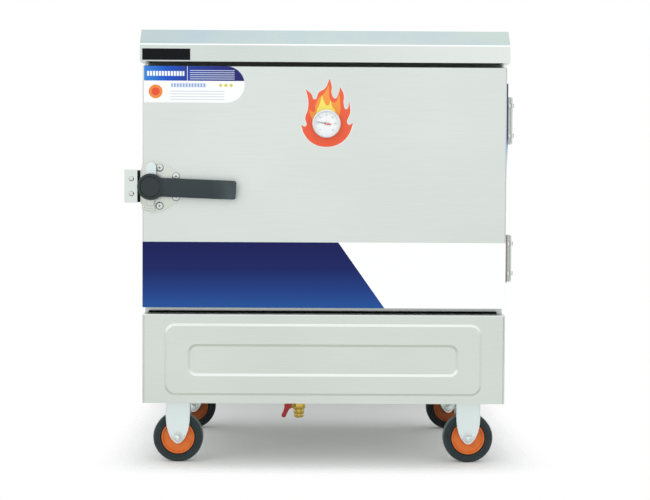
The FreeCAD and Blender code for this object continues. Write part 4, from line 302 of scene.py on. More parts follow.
zinc = plated("zinc_plate", linear(238, 248, 247), 0.36)
polished = plated("polished_steel", linear(226, 229, 228), 0.20, 0.02)
keeper_steel = plated("keeper_steel", linear(232, 238, 234), 0.28, 0.03)
brass = plated("valve_brass", linear(224, 192, 98), 0.22, 0.06)
hinge_steel = plated("hinge_steel", linear(212, 218, 213), 0.34)
print("metals made:", zinc.material.name, polished.material.name, brass.material.name)

# %% [markdown]
# The tail of the float valve has a screw thread. It could be cut as a spiral, but at this size a
# wave across its axis, fed to the relief, and to the colour as painted light and shade on the
# ridges, looks the same and costs no faces. The handle of the drain valve is dipped in red paint,
# which has worn to a darker red in places.

# %% Threaded brass and red paint
TAIL_START, THREAD_PITCH = -335 * MM, 1.8 * MM


def thread_brass():
    """Brass with the ridges of a screw thread round the inlet's tail, and painted light and shade on them."""
    metal = Finish("threaded_brass", Metallic=1.0)
    along = metal.axis("x")
    # The ridge also lightens the crests and darkens the grooves: painted light and shade.
    ridge = (along * (2 * math.pi / THREAD_PITCH)).calc("SINE") * (along < TAIL_START)
    clouds = metal.noise(30.0)
    metal.feed("Base Color", metal.mix(clouds + ridge * 0.2, linear(150, 128, 70), linear(196, 172, 100)))
    metal.feed("Roughness", clouds * 0.2 + 0.26)
    metal.relief(ridge, 0.7, 0.0006)
    return metal


inlet_brass = thread_brass()
red_paint = Finish("handle_red", Specular_IOR_Level=0.35)
chips = red_paint.noise(60.0, 4.0)
red_paint.feed("Base Color", red_paint.mix(chips > 0.66, linear(206, 58, 64), linear(150, 48, 50)))
red_paint.feed("Roughness", chips * 0.25 + 0.28)
red_paint.relief(red_paint.noise(260.0), 0.1, 0.0003)
print("thread from", TAIL_START, "with a pitch of", THREAD_PITCH)

# %% [markdown]
# Rubber, plastics and wool are matt, each in its own way. One flat colour would look like paint on
# a drawing, so a moulded skin lies between two tones. The lever has an even grained coat with a
# painted highlight toward the end, and the wool is a felt of crossed fibres.

# %% Rubber, plastics and wool
def moulded(name, low, high, roughness, grain_size, lift, shine=0.25):
    """A skin between two tones, with soft clouds and a fine grain."""
    skin = Finish(name, Specular_IOR_Level=shine)
    clouds = skin.noise(14.0, 3.0)
    grain = skin.noise(grain_size, 2.0)
    skin.feed("Base Color", skin.mix(clouds * 0.75 + grain * 0.25, low, high))
    skin.feed("Roughness", clouds * 0.12 + grain * 0.1 + (roughness - 0.11))
    skin.relief(grain, lift, 0.0004)
    return skin


def lever_finish():
    """An even coat, flatter on the boss and with a painted highlight toward the end of the arm."""
    coat = moulded("lever_coat", linear(37, 47, 51), linear(51, 62, 66), 0.42, 520.0, 0.12, shine=0.35)
    boss = coat.ramp(coat.axis("x"), -0.312, -0.318)
    tone = coat.mix(boss * 0.8, coat.fed("Base Color"), linear(40, 48, 50))
    # Painted highlight on the arm toward its end.
    highlight_mask = coat.ramp(coat.axis("x"), -0.222, -0.186) * coat.noise(38.0, 2.0)
    coat.feed("Base Color", coat.mix(highlight_mask * 0.5, tone, linear(96, 110, 112)))
    return coat


seal_rubber = moulded("seal_rubber", linear(196, 198, 194), linear(216, 217, 213), 0.5, 240.0, 0.1)
lever_coat = lever_finish()
gland_plastic = moulded("gland_plastic", linear(28, 28, 30), linear(46, 46, 48), 0.4, 300.0, 0.1)
float_plastic = moulded("float_plastic", linear(226, 222, 204), linear(238, 234, 220), 0.35, 200.0, 0.06)
wool = Finish("mineral_wool", Roughness=0.95)
fibres = wool.noise(60.0, 8.0, (1, 1, 6), 0.8)
wool.feed("Base Color", wool.mix(fibres, linear(168, 150, 84), linear(232, 220, 170)))
wool.relief(fibres, 0.8, 0.002)
print("soft and moulded finishes:", seal_rubber.material.name, lever_coat.material.name)

# %% [markdown]
# The wheels' finishes follow the distance from the axle. Where tyre and centre meet there is a
# dark ring, and the tyre's shoulder has a painted highlight. The rear wheels stand in the
# cabinet's shade and are darker, which here is painted shade in the finish.

# %% Tyres and wheel centres
WHEEL_X, WHEEL_Y, AXLE_Z = 292.5, 244, 50
RING_WIDTH = 1.6


def wheel_finish(name, low, high, roughness, inner, outer, edge_low, edge_high):
    """A moulded finish with a dark ring at one radius of each wheel, a painted highlight at another, and
    painted shade on the rear wheels.
    """
    skin = Finish(name, Specular_IOR_Level=0.2)
    x, z = skin.axis("x").calc("ABSOLUTE") - WHEEL_X * MM, skin.axis("z") - AXLE_Z * MM
    radius = (x * x + z * z).calc("SQRT") * 1000
    rings = (radius * 1.9).calc("SINE") * 0.12
    mould = skin.noise(60.0, 4.0) + rings
    dark = (radius > inner) * (radius < inner + RING_WIDTH)
    colour = skin.mix(dark, skin.mix(mould, low, high), edge_low)
    # Painted highlight on the tyre's shoulder.
    shoulder_highlight = skin.ramp(radius, outer, outer + RING_WIDTH, high=0.75)
    colour = skin.mix(shoulder_highlight, colour, edge_high)
    # Painted shade on the rear wheels, which stand in the cabinet's shade.
    rear = skin.ramp(skin.axis("y"), 0.0, 0.2, high=0.62)
    skin.feed("Base Color", skin.mix(rear, colour, linear(8, 8, 9)))
    skin.feed("Roughness", mould * 0.15 + (roughness - 0.08))
    skin.relief(skin.noise(300.0, 2.0) + rings, 0.15, 0.0004)
    return skin


tyre_rubber = wheel_finish(
    "tyre_rubber", linear(38, 47, 50), linear(58, 68, 71), 0.62, 34.0, 48.4,
    linear(8, 9, 10), linear(128, 138, 132),
)
wheel_orange = wheel_finish(
    "wheel_orange", linear(210, 98, 36), linear(238, 136, 66), 0.45, 33.0, 60.0,
    linear(30, 22, 18), linear(30, 22, 18),
)
print("wheel finishes:", tyre_rubber.material.name, wheel_orange.material.name)

# %% [markdown]
# The lens is thin clear glass and the dial behind it is printed white. Light could be bent
# through the lens, but it is so thin that a low alpha shows the same dial without noise. The
# pointer is grey, with a red tail: its colour changes where the pin goes through.

# %% Lens, dial and pointer
lens = Finish("lens_glass", Roughness=0.04, Alpha=0.07, IOR=1.45)
smear = lens.noise(40.0, 3.0)
lens.feed("Base Color", lens.mix(smear, linear(236, 244, 246), linear(250, 252, 252)))
lens.feed("Roughness", smear * 0.06 + 0.02)

bezel_steel = plated("bezel_steel", linear(246, 248, 248), 0.32, 0.02)
dial_white = Finish("dial_white", Specular_IOR_Level=0.3)
speck = dial_white.noise(900.0, 2.0)
dial_white.feed("Base Color", dial_white.mix(speck, linear(250, 250, 251), linear(254, 254, 254)))
dial_white.feed("Roughness", speck * 0.1 + 0.4)

PAINT_CHANGE = -2 * MM
pointer_paint = Finish("pointer_paint")
right_of_pin = pointer_paint.axis("x") > PAINT_CHANGE
pointer_paint.feed("Base Color", pointer_paint.mix(right_of_pin, linear(158, 160, 166), linear(206, 60, 58)))
pointer_paint.feed("Roughness", pointer_paint.noise(500.0) * 0.2 + 0.35)
print("dial finishes made")

# %% [markdown]
# Each CAD node now takes its finish. One table of names and finishes is easier to check than a
# call for each node. A node keeps its mesh: only its material slots change.

# %% Finishes for the CAD nodes
WORN = {
    "top_cover": hood_steel, "left_side_panel": side_steel, "right_side_panel": side_steel,
    "back_panel": back_steel, "front_frame": liner_steel, "inner_liner": liner_steel,
    "cabinet_insulation": wool, "base_front_panel": base_steel, "base_tray": base_steel,
    "keeper_bracket": keeper_steel, "frame_screws": polished, "hinge_frame_leaves": hinge_steel,
    "hinge_pins": polished, "hinge_collars": polished, "left_tray_rack": liner_steel,
    "right_tray_rack": liner_steel, "steam_baffle": liner_steel, "heating_elements": tray_steel,
    "terminal_cover": back_steel, "cable_gland": gland_plastic, "feed_tank": side_steel,
    "float_valve": inlet_brass, "link_pipe": polished, "vent_pipe": polished, "drain_pipe": polished,
    "drain_valve_body": brass, "caster_forks": zinc, "caster_bolts": polished,
    "door_outer_skin": door_steel, "door_inner_skin": liner_steel, "door_insulation": wool,
    "door_gasket": seal_rubber, "latch_plate": keeper_steel, "door_screws": polished,
    "hinge_door_leaves": hinge_steel, "thermometer_case": bezel_steel, "thermometer_dial": dial_white,
    "thermometer_glass": lens, "thermometer_stem": polished, "thermometer_pointer": pointer_paint,
    "latch_lever": lever_coat, "latch_spindle": lever_coat, "latch_hook": zinc,
    "drain_valve_handle": red_paint, "drain_valve_stem": brass, "float_arm": brass,
    "float_ball": float_plastic, "feed_tank_lid": side_steel,
}
for name, node in NODES.items():
    if name.startswith("tray_"):
        chosen = tray_steel
    elif name.endswith("_tyre"):
        chosen = tyre_rubber
    elif name.endswith("_wheel_centre"):
        chosen = wheel_orange
    else:
        chosen = WORN[name]
    node.data.materials.clear()
    node.data.materials.append(chosen.material)
print("finishes on", len(NODES), "nodes")

# %% [markdown]
# The pieces to come are modelled as by hand, with the operators that the menus offer. An operator
# acts on all that is selected, so nothing is left selected before a piece is added, and faces,
# edges or points are then picked by where they are or which way they look.

# %% Starting and picking
X, Y, Z = 0, 1, 2
SAME_PLACE = 1e-6
KINDS = {"FACE": "polygons", "EDGE": "edges", "VERT": "vertices"}


def only(piece=None):
    """Select one piece, or nothing, in object mode."""
    if bpy.context.mode != "OBJECT":
        bpy.ops.object.mode_set(mode="OBJECT")
    bpy.ops.object.select_all(action="DESELECT")
    if piece is not None:
        piece.select_set(True)
        bpy.context.view_layer.objects.active = piece


def begin(kind, name, **size):
    """Add a primitive and name it."""
    only()
    getattr(bpy.ops.mesh, f"primitive_{kind}_add")(**size)
    piece = bpy.context.object
    piece.name = name
    piece.data.name = name
    return piece


def settle(piece):
    """Put the piece's place into its mesh."""
    only(piece)
    bpy.ops.object.transform_apply(location=True, rotation=True, scale=True)
    return piece


def pick(piece, kind, test):
    """Enter edit mode with only the faces, edges or points selected that pass a test."""
    only(piece)
    bpy.ops.object.mode_set(mode="EDIT")
    bpy.ops.mesh.select_mode(type=kind)
    bpy.ops.mesh.select_all(action="DESELECT")
    bpy.ops.object.mode_set(mode="OBJECT")
    for element in getattr(piece.data, KINDS[kind]):
        element.select = test(element)
    bpy.ops.object.mode_set(mode="EDIT")


def pick_faces(piece, test):
    """Pick faces by their centre and normal."""
    pick(piece, "FACE", lambda face: test(face.center, face.normal))


def pick_edges(piece, test):
    """Pick edges by their two ends."""
    pick(piece, "EDGE", lambda edge: test(*(piece.data.vertices[end].co for end in edge.vertices)))


def facing(axis, sign):
    """A test for faces that look one way along an axis."""
    return lambda centre, normal: normal[axis] * sign > 0.9


def runs_along(axis, start, end):
    """Whether an edge runs along an axis."""
    return all(abs(start[side] - end[side]) < SAME_PLACE for side in (X, Y, Z) if side != axis)


print("pieces can be picked by", sorted(KINDS))

# %% [markdown]
# Most thin pieces on this cabinet start as one flat block that stands upright and looks forward.
# A finished piece gets its materials and is tied to the body that carries it, so that it moves
# with the door or the lever.

# %% Blocks and finished pieces
def bevel(width, steps):
    """Round the picked edges, and leave edit mode."""
    bpy.ops.mesh.bevel(offset=width * MM, segments=steps, affect="EDGES")
    only()


def slab(name, x, z, front, thickness):
    """A thin upright block between two places each way, its front face at a depth."""
    middle = ((x[0] + x[1]) / 2 * MM, (front + thickness / 2) * MM, (z[0] + z[1]) / 2 * MM)
    piece = begin("cube", name, size=1, location=middle)
    piece.scale = ((x[1] - x[0]) * MM, thickness * MM, (z[1] - z[0]) * MM)
    return settle(piece)


def round_corners(piece, radius, steps=6):
    """Round the edges that run front to back."""
    pick_edges(piece, lambda start, end: runs_along(Y, start, end))
    bevel(radius, steps)


def dress(piece, body, slot, *finishes):
    """Give a finished piece its materials and tie it to its body."""
    only()
    if len(piece.data.materials) < len(finishes):
        piece.data.materials.clear()
        for finish in finishes:
            piece.data.materials.append(finish.material)
    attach(piece, body)
    print(piece.name, "has", len(piece.data.polygons), "faces")


DOOR_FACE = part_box("door_outer_skin")[0][1] / MM
LIP_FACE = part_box("top_cover")[0][1] / MM
print("door face at", round(DOOR_FACE, 2), "lip face at", round(LIP_FACE, 2))

# %% [markdown]
# A bare black plate with a bright rim is fixed on the cover's lip. The rim could be a second
# piece, but one block whose face is inset and pushed back by a third of a millimetre has no gap
# round it, and its rim stands proud and catches the light.

# %% Plate on the top cover
PLATE_X, PLATE_Z, PLATE_THICK = (-361.5, -264.5), (802.2, 827.2), 1.2
RIM, RIM_SLOPE, RIM_HEIGHT = 1.1, 0.3, 0.35
plate_black = moulded("plate_black", linear(3, 6, 11), linear(8, 13, 20), 0.4, 200.0, 0.05, shine=0.15)
plate = slab("cover_plate", PLATE_X, PLATE_Z, LIP_FACE - PLATE_THICK, PLATE_THICK)
round_corners(plate, 1.5, 4)
plate.data.materials.append(polished.material)
plate.data.materials.append(plate_black.material)
pick_faces(plate, facing(Y, -1))
bpy.ops.mesh.inset(thickness=RIM * MM)
bpy.ops.mesh.inset(thickness=RIM_SLOPE * MM, depth=-RIM_HEIGHT * MM)
plate.active_material_index = 1
bpy.ops.object.material_slot_assign()
dress(plate, "cabinet", "gland_plastic", polished, plate_black)

# %% [markdown]
# The wide film along the foot of the door is printed blue on its left part, with a slanting end,
# and white on its right. The two inks are one mask on the film's own place, so the slanting line
# stays sharp. The film wraps round the door's rounded edges, so its two end faces are extruded in
# three short steps that follow the bend.

# %% Film along the door
FILM_X, FILM_LOW, FILM_HIGH = (-357, 357), 315.4, 445.5
SLANT_LOW, SLANT_HIGH = 119.8, 27.7
FILM_THICK = 0.25
WRAP_STEPS = ((1.55, 0.4), (1.1, 1.15), (0.4, 1.5))


def film_print():
    """White film, printed with a shaded blue up to a slanting edge."""
    film = Finish("film_print", Specular_IOR_Level=0.15)
    x, z = film.axis("x"), film.axis("z")
    up = (z - FILM_LOW * MM) / ((FILM_HIGH - FILM_LOW) * MM)
    edge = up * ((SLANT_HIGH - SLANT_LOW) * MM) + SLANT_LOW * MM
    blue = film.colours(
        up, (0.0, linear(33, 80, 152)), (0.26, linear(27, 60, 130)), (0.6, linear(20, 31, 93)),
        (1.0, linear(18, 22, 82)),
    )
    ink = film.noise(700.0, 2.0)
    white = film.mix(ink, linear(252, 253, 254), linear(255, 255, 255))
    blue_ink = film.mix(ink * 0.06, blue, linear(44, 74, 150))
    film.feed("Base Color", film.mix(x < edge, white, blue_ink))
    film.feed("Roughness", ink * 0.08 + film.noise(6.0) * 0.1 + 0.24)
    film.relief(film.noise(9.0, 2.0, (1, 1, 2)), 0.12, 0.002)
    return film


def extrude(x, y, z):
    """Pull the picked faces out by a distance on each axis."""
    bpy.ops.mesh.extrude_region_move(TRANSFORM_OT_translate={"value": (x * MM, y * MM, z * MM)})


film = slab("door_film", FILM_X, (FILM_LOW, FILM_HIGH), DOOR_FACE - FILM_THICK, FILM_THICK)
for side in (-1, 1):
    pick_faces(film, facing(X, side))
    for out, back in WRAP_STEPS:
        extrude(side * out, back, 0)
dress(film, "door", "dial_face", film_print())

# %% [markdown]
# Some pieces need more than a pull at a face: a cut right through, a block that is added or taken
# away, or a bevel on every edge. A modifier is applied as soon as it is set, so that the next step
# works on its result.

# %% Cuts, bevels and blocks
def pick_points(piece, test):
    """Pick points by their place."""
    pick(piece, "VERT", lambda point: test(point.co))


def modify(piece, kind, **settings):
    """Set a modifier and apply it."""
    only(piece)
    bpy.ops.object.modifier_add(type=kind)
    modifier = piece.modifiers[-1]
    for name, value in settings.items():
        setattr(modifier, name, value)
    bpy.ops.object.modifier_apply(modifier=modifier.name)


def slice_at(piece, place, normal, clear=None, fill=True):
    """Cut all the way through along a plane, and throw one side away if asked."""
    only(piece)
    bpy.ops.object.mode_set(mode="EDIT")
    bpy.ops.mesh.select_all(action="SELECT")
    bpy.ops.mesh.bisect(
        plane_co=[c * MM for c in place], plane_no=normal, use_fill=fill and clear is not None,
        clear_inner=clear == "inner", clear_outer=clear == "outer",
    )
    only()


def carve(piece, operation, tool):
    """Add a tool to a piece or take it away, and throw the tool away."""
    modify(piece, "BOOLEAN", object=tool, operation=operation, solver="EXACT")
    bpy.data.objects.remove(tool)


def soften(piece, width, angle):
    """A narrow bevel on every edge that is sharper than an angle."""
    limit = math.radians(angle)
    modify(piece, "BEVEL", width=width * MM, segments=2, limit_method="ANGLE", angle_limit=limit)


def smooth(piece, angle, weight=0):
    """Shade a piece smooth up to an angle, and let its broad faces lead by a weight."""
    only(piece)
    bpy.ops.object.shade_smooth_by_angle(angle=math.radians(angle))
    if weight:
        modify(piece, "WEIGHTED_NORMAL", keep_sharp=True, weight=weight)


def rod(name, radius, ends, centre=(0, 0), axis=Y, sides=96):
    """A cylinder along an axis, between two ends and round a centre on the other two axes."""
    middle = list(centre)
    middle.insert(axis, sum(ends) / 2)
    lying = ((0, math.pi / 2, 0), (math.pi / 2, 0, 0), (0, 0, math.pi / 6))[axis]
    piece = begin(
        "cylinder", name, vertices=sides, radius=radius * MM, depth=(ends[1] - ends[0]) * MM,
        location=[c * MM for c in middle], rotation=lying,
    )
    return settle(piece)


print("cuts, bevels and blocks ready")

# %% [markdown]
# The guide sticker near the door's upper corner has a generic print: a shaded blue head, a plain
# badge, three small signs and pale rules. Every mark is a mask worked out from two shares, across
# and up the card, so it stays sharp from close by and needs no picture.

# %% Print of the guide sticker
GUIDE_X = (-356.9, -158.8)
GUIDE_Z = (720.4, 792.1)
HEAD_FROM = 0.597


def guide_print():
    """Rules, a badge and small signs on white card, under a shaded blue head."""
    card = Finish("guide_print", Specular_IOR_Level=0.2)
    x, z = card.axis("x"), card.axis("z")
    across = (x - GUIDE_X[0] * MM) / ((GUIDE_X[1] - GUIDE_X[0]) * MM)
    up = (z - GUIDE_Z[0] * MM) / ((GUIDE_Z[1] - GUIDE_Z[0]) * MM)
    head_ink = card.colours(
        across, (0.0, linear(56, 134, 216)), (0.22, linear(20, 84, 200)), (0.42, linear(36, 62, 158)),
        (1.0, linear(38, 32, 104)),
    )

    def area(left, right, low, high):
        """A mask over a part of the card, given in shares of its width and height."""
        return (across > left) * (across < right) * (up > low) * (up < high)

    head = up > HEAD_FROM
    head_rules = ((up - 0.64) * 17.5).calc("FRACT") < 0.36
    inside = area(0.455, 0.9, 0.64, 0.92)
    dashes = (across * 34.0).calc("FRACT") < 0.72
    title = area(0.03, 0.4, 0.73, 0.86) * dashes
    body_rules = (up * 13.5).calc("FRACT") < 0.36
    body_area = area(0.26, 0.8, 0.07, 0.37)
    name_area = area(0.27, 0.62, 0.42, 0.53) * dashes
    badge_x = (across - 0.115) * 2.75
    badge_z = up - 0.3
    spread = badge_x * badge_x + badge_z * badge_z
    badge = spread < 0.036
    badge_core = spread < 0.012
    sign_x = ((across - 0.735) * 19.0).calc("FRACT") - 0.5
    sign_z = up - 0.475
    signs = (sign_x * sign_x + sign_z * sign_z * 40.0 < 0.09) * (across > 0.735) * (across < 0.893)
    divider = (across > 0.428) * (across < 0.433) * head
    grain = card.noise(700.0, 2.0)
    paper = card.mix(grain, linear(250, 251, 251), linear(254, 254, 254))
    ink = card.mix(body_rules * body_area, paper, linear(216, 221, 230))
    ink = card.mix(name_area, ink, linear(156, 178, 222))
    ink = card.mix(signs, ink, linear(222, 206, 92))
    ink = card.mix(badge, ink, linear(240, 140, 66))
    ink = card.mix(badge_core, ink, linear(232, 84, 58))
    top = card.mix(head_rules * inside, head_ink, linear(200, 210, 236))
    top = card.mix(title, top, linear(250, 252, 255))
    top = card.mix(divider, top, linear(244, 246, 248))
    card.feed("Base Color", card.mix(head, ink, top))
    card.feed("Roughness", grain * 0.08 + 0.26)
    card.relief(card.noise(14.0), 0.08, 0.001)
    return card


print("card from", GUIDE_X[0], "to", GUIDE_X[1], "across and from", GUIDE_Z[0], "to", GUIDE_Z[1], "up")

# %% [markdown]
# The sticker itself is a strip with a round right end. A block with two round corners would do,
# but a circle is the shorter way: its left half is pulled out, the far end is cut off straight,
# and the flat sheet gets its thickness last.

# %% Guide sticker
radius = (GUIDE_Z[1] - GUIDE_Z[0]) / 2
round_x = GUIDE_X[1] - radius
guide = begin(
    "circle", "guide_sticker", vertices=96, radius=radius * MM, fill_type="NGON",
    location=(round_x * MM, (DOOR_FACE - FILM_THICK) * MM, (GUIDE_Z[0] + radius) * MM),
    rotation=(math.pi / 2, 0, 0),
)
settle(guide)
pick_points(guide, lambda point: point.x < round_x * MM - 10 * SAME_PLACE)
bpy.ops.transform.translate(value=((GUIDE_X[0] - GUIDE_X[1]) * MM, 0, 0))
slice_at(guide, (GUIDE_X[0], 0, 0), (1, 0, 0), clear="inner", fill=False)
modify(guide, "SOLIDIFY", thickness=FILM_THICK * MM, offset=-1)
dress(guide, "door", "dial_face", guide_print())

# %% [markdown]
# Round the dial sits a printed flame. Each of its layers is one closed outline: a pale edge, a red
# fire with a bowl under the dial, orange tongues and a yellow heart above it. The points are
# places on the door, and a one marks a tip.

# %% Outlines of the flame
DIAL = (3.0, 680.0)
RED_FIRE = (
    (3, 634.5, 0), (-23, 641, 0), (-40, 658, 0), (-47, 677, 1), (-38, 675, 0), (-39, 692, 0), (-34, 708, 0),
    (-33, 724, 0), (-38, 748, 1), (-27, 738, 0), (-21, 728, 0), (-12, 742, 0), (0, 750, 0), (9, 769, 1),
    (13, 754, 0), (13, 740, 0), (20, 730, 0), (26, 738, 0), (30, 753, 1), (37, 737, 0), (37, 719, 0),
    (42, 709, 0), (48, 724, 1), (50, 704, 0), (46, 679, 0), (56, 682, 1), (46, 657, 0), (29, 641, 0),
)
ORANGE_TONGUES = (
    (3, 688, 0), (-20, 684, 0), (-27, 692, 0), (-31, 709, 1), (-22, 703, 0), (-19, 717, 0), (-12, 731, 0),
    (-1, 741, 0), (8, 758, 1), (8, 740, 0), (10, 729, 0), (18, 722, 0), (28, 739, 1), (30, 720, 0),
    (30, 704, 0), (24, 690, 0),
)
YELLOW_HEART = (
    (3, 690, 0), (-14, 690, 0), (-16, 706, 0), (-11, 718, 0), (-6, 736, 1), (-1, 722, 0), (5, 716, 0),
    (11, 726, 1), (15, 712, 0), (20, 706, 0), (18, 696, 0), (12, 690, 0),
)
print("points in the flame:", len(RED_FIRE), len(ORANGE_TONGUES), len(YELLOW_HEART))

# %% [markdown]
# A closed curve is the easiest way to such an outline: a circle is cut into as many points as are
# needed, and each is moved to its place. A tip has straight handles and every other point smooth
# ones. The curve is filled, made a mesh, stood upright and given its thickness.

# %% Sheets from an outline
def sheet_from(name, outline, front, thickness):
    """A closed outline of smooth and sharp points, turned into a thin upright sheet."""
    only()
    bpy.ops.curve.primitive_bezier_circle_add(radius=0.05)
    drawn = bpy.context.object
    drawn.name = name
    bpy.ops.object.mode_set(mode="EDIT")
    bpy.ops.curve.select_all(action="SELECT")
    bpy.ops.curve.subdivide(number_cuts=len(outline) // 4 - 1)
    bpy.ops.object.mode_set(mode="OBJECT")
    for point, (x, z, tip) in zip(drawn.data.splines[0].bezier_points, outline):
        kind = "VECTOR" if tip else "AUTO"
        point.handle_left_type = kind
        point.handle_right_type = kind
        point.co = (x * MM, z * MM, 0)
    drawn.data.resolution_u = 8
    drawn.data.dimensions = "2D"
    drawn.data.fill_mode = "BOTH"
    bpy.ops.object.convert(target="MESH")
    drawn.rotation_euler = (math.pi / 2, 0, 0)
    drawn.location = (0, front * MM, 0)
    settle(drawn)
    modify(drawn, "WELD", merge_threshold=0.01 * MM)
    modify(drawn, "SOLIDIFY", thickness=thickness * MM, offset=-1)
    return drawn


print("sheets can be drawn")

# %% [markdown]
# The layers lie on each other like inks, each a little further out than the last, so that none
# shows through another. A punch of the size of the dial's case then cuts the hole in all of them.

# %% Flame sticker
INK, CASE_HOLE = 0.12, 28.05
FLAME_FOOT, FLAME_RISE = 640 * MM, 125 * MM
HALO_CENTRE, HALO_GROWTH = (4, 692), (1.035, 1.02)


def flame_layer(name, outline, lift, finish):
    """One layer of the print, with the hole for the dial's case punched out."""
    drawn = sheet_from(name, outline, DOOR_FACE - lift, INK)
    carve(drawn, "DIFFERENCE", rod("punch", CASE_HOLE, (DOOR_FACE - 2, DOOR_FACE + 2), DIAL))
    dress(drawn, "door", "dial_face", finish)


def print_ink(name, low, high):
    """Ink that goes from one tone at the flame's foot to another at its tips."""
    ink = Finish(name, Specular_IOR_Level=0.15)
    grain = ink.noise(600.0, 2.0)
    up = (ink.axis("z") - FLAME_FOOT) * (1 / FLAME_RISE)
    ink.feed("Base Color", ink.mix(grain * 0.3 + up * 0.7, low, high))
    ink.feed("Roughness", grain * 0.1 + 0.34)
    return ink


halo = []
for x, z, tip in RED_FIRE:
    wide = HALO_CENTRE[0] + (x - HALO_CENTRE[0]) * HALO_GROWTH[0]
    tall = HALO_CENTRE[1] + (z - HALO_CENTRE[1]) * HALO_GROWTH[1]
    halo.append((wide, tall, tip))
layers = (
    ("flame_halo", halo, print_ink("halo_pale", linear(236, 238, 236), linear(240, 242, 240))),
    ("flame_red", RED_FIRE, print_ink("flame_red", linear(236, 96, 66), linear(244, 108, 76))),
    ("flame_orange", ORANGE_TONGUES, print_ink("flame_orange", linear(244, 140, 60), linear(250, 168, 84))),
    ("flame_yellow", YELLOW_HEART, print_ink("flame_yellow", linear(252, 226, 96), linear(252, 238, 120))),
)
for number, (name, outline, finish) in enumerate(layers, 1):
    flame_layer(name, outline, INK * number, finish)

# %% [markdown]
# The strokes round the dial are printed. They could be rings of colour in the finish of the face,
# but thin blocks stay sharp from close by. One long and one short stroke are made, copied round
# the pin, and joined.

# %% Dial strokes
DIAL_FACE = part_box("thermometer_dial")[0][1] / MM
PIN = Vector((DIAL[0] * MM, DIAL_FACE * MM, DIAL[1] * MM))
print_grey = moulded("print_grey", linear(132, 136, 142), linear(150, 154, 160), 0.4, 400.0, 0.02)
START, SWEEP = math.radians(225), math.radians(-270)
STROKE_REACH, STROKE_THICK = 23.0, 0.06


def unite(name, pieces):
    """Join pieces into one object, each keeping its own closed skin."""
    only()
    for piece in pieces:
        piece.select_set(True)
    bpy.context.view_layer.objects.active = pieces[0]
    bpy.ops.object.join()
    pieces[0].name = name
    pieces[0].data.name = name
    return pieces[0]


def strokes(name, count, length, width):
    """Strokes round the face that end at one radius, turned from one thin block."""
    x, z = DIAL
    top = z + STROKE_REACH
    sides = (x - width / 2, x + width / 2)
    first = slab(name, sides, (top - length, top), DIAL_FACE - STROKE_THICK, STROKE_THICK)
    copies = []
    for step in range(count):
        only(first)
        bpy.ops.object.duplicate()
        angle = START + SWEEP * step / (count - 1) - math.pi / 2
        bpy.ops.transform.rotate(value=angle, orient_axis="Y", center_override=PIN)
        copies.append(settle(bpy.context.object))
    bpy.data.objects.remove(first)
    return copies


marks = unite("dial_strokes", strokes("short_stroke", 61, 1.3, 0.22) + strokes("long_stroke", 13, 2.4, 0.4))
dress(marks, "door", "pointer_paint", print_grey)

# %% [markdown]
# The numbers, from 0 to 120, are text. Each is set at its angle, turned into a mesh, because the
# export knows only meshes, and given a thickness of a few hundredths, as ink has.

# %% Dial numbers
NUMBER_REACH, NUMBER_SIZE, NUMBER_THICK = 17.4, 4.4, 0.04


def dial_number(value, angle):
    """A number of the face, set at its angle and turned into a mesh."""
    only()
    reach = Vector((math.cos(angle) * NUMBER_REACH, -0.05, math.sin(angle) * NUMBER_REACH))
    bpy.ops.object.text_add(location=PIN + reach * MM, rotation=(math.pi / 2, 0, 0))
    number = bpy.context.object
    number.data.body = str(value)
    number.data.size = NUMBER_SIZE * MM
    number.data.align_x = "CENTER"
    number.data.align_y = "CENTER"
    number.data.resolution_u = 3
    bpy.ops.object.convert(target="MESH")
    settle(number)
    modify(number, "WELD", merge_threshold=0.001 * MM)
    return number


numbers = unite("dial_numbers", [dial_number(step * 20, START + SWEEP * step / 6) for step in range(7)])
modify(numbers, "SOLIDIFY", thickness=NUMBER_THICK * MM, offset=-1)
dress(numbers, "door", "pointer_paint", print_grey)

# %% [markdown]
# Dark strips stand in the slots above and below the door and behind the keeper, where there is
# only shade: they are painted shade. The upper strip is grey and sits on the frame behind the slot,
# the lower one is black and lies on the sill, and a short black one stands behind the keeper. A
# plain block would look like a painted line, so the front of each is drawn in and pushed out into a lip.

# %% Shade strips in the slots
# The black and the grey of these strips are painted shade in the slots.
shade_strip_black = moulded("shade_strip_black", linear(30, 32, 32), linear(44, 46, 46), 0.7, 260.0, 0.15, shine=0.1)
shade_strip_grey = moulded("shade_strip_grey", linear(112, 116, 112), linear(138, 142, 138), 0.7, 260.0, 0.15, shine=0.1)


def slot_seal(name, x, z, front, depth, strip_finish=shade_strip_black):
    """A dark strip of painted shade between two places each way, with a soft lip along its front."""
    dark_strip = slab(name, x, z, front, depth)
    pick_faces(dark_strip, facing(Y, -1))
    bpy.ops.mesh.inset(thickness=1.2 * MM)
    extrude(0, -0.8, 0)
    bpy.ops.mesh.inset(thickness=0.8 * MM)
    dress(dark_strip, "cabinet", "seal_rubber", strip_finish)


slot_seal("lip_shade_strip", (-354, 356), (793, 816), -249.4, 1.2, shade_strip_grey)
slot_seal("sill_shade_strip", (-352, 348), (302.2, 305.2), -262, 13.6)
slot_seal("keeper_shade_strip", (-390.6, -361), (523.5, 586.5), -250.0, 3.8)

# %% [markdown]
# A flap of the protective film still stands off the door's right edge, navy at the top and
# turning white toward its lower end. A cut across the strip gives it points in the middle, so that the
# lower end alone can be narrowed by moving its outer points in.

# %% Film flap
FLAP_X, FLAP_Z, FLAP_CUT = (356.5, 362.4), (568, 761), 640
FLAP_TOP, FLAP_FADE = 762 * MM, 200 * MM


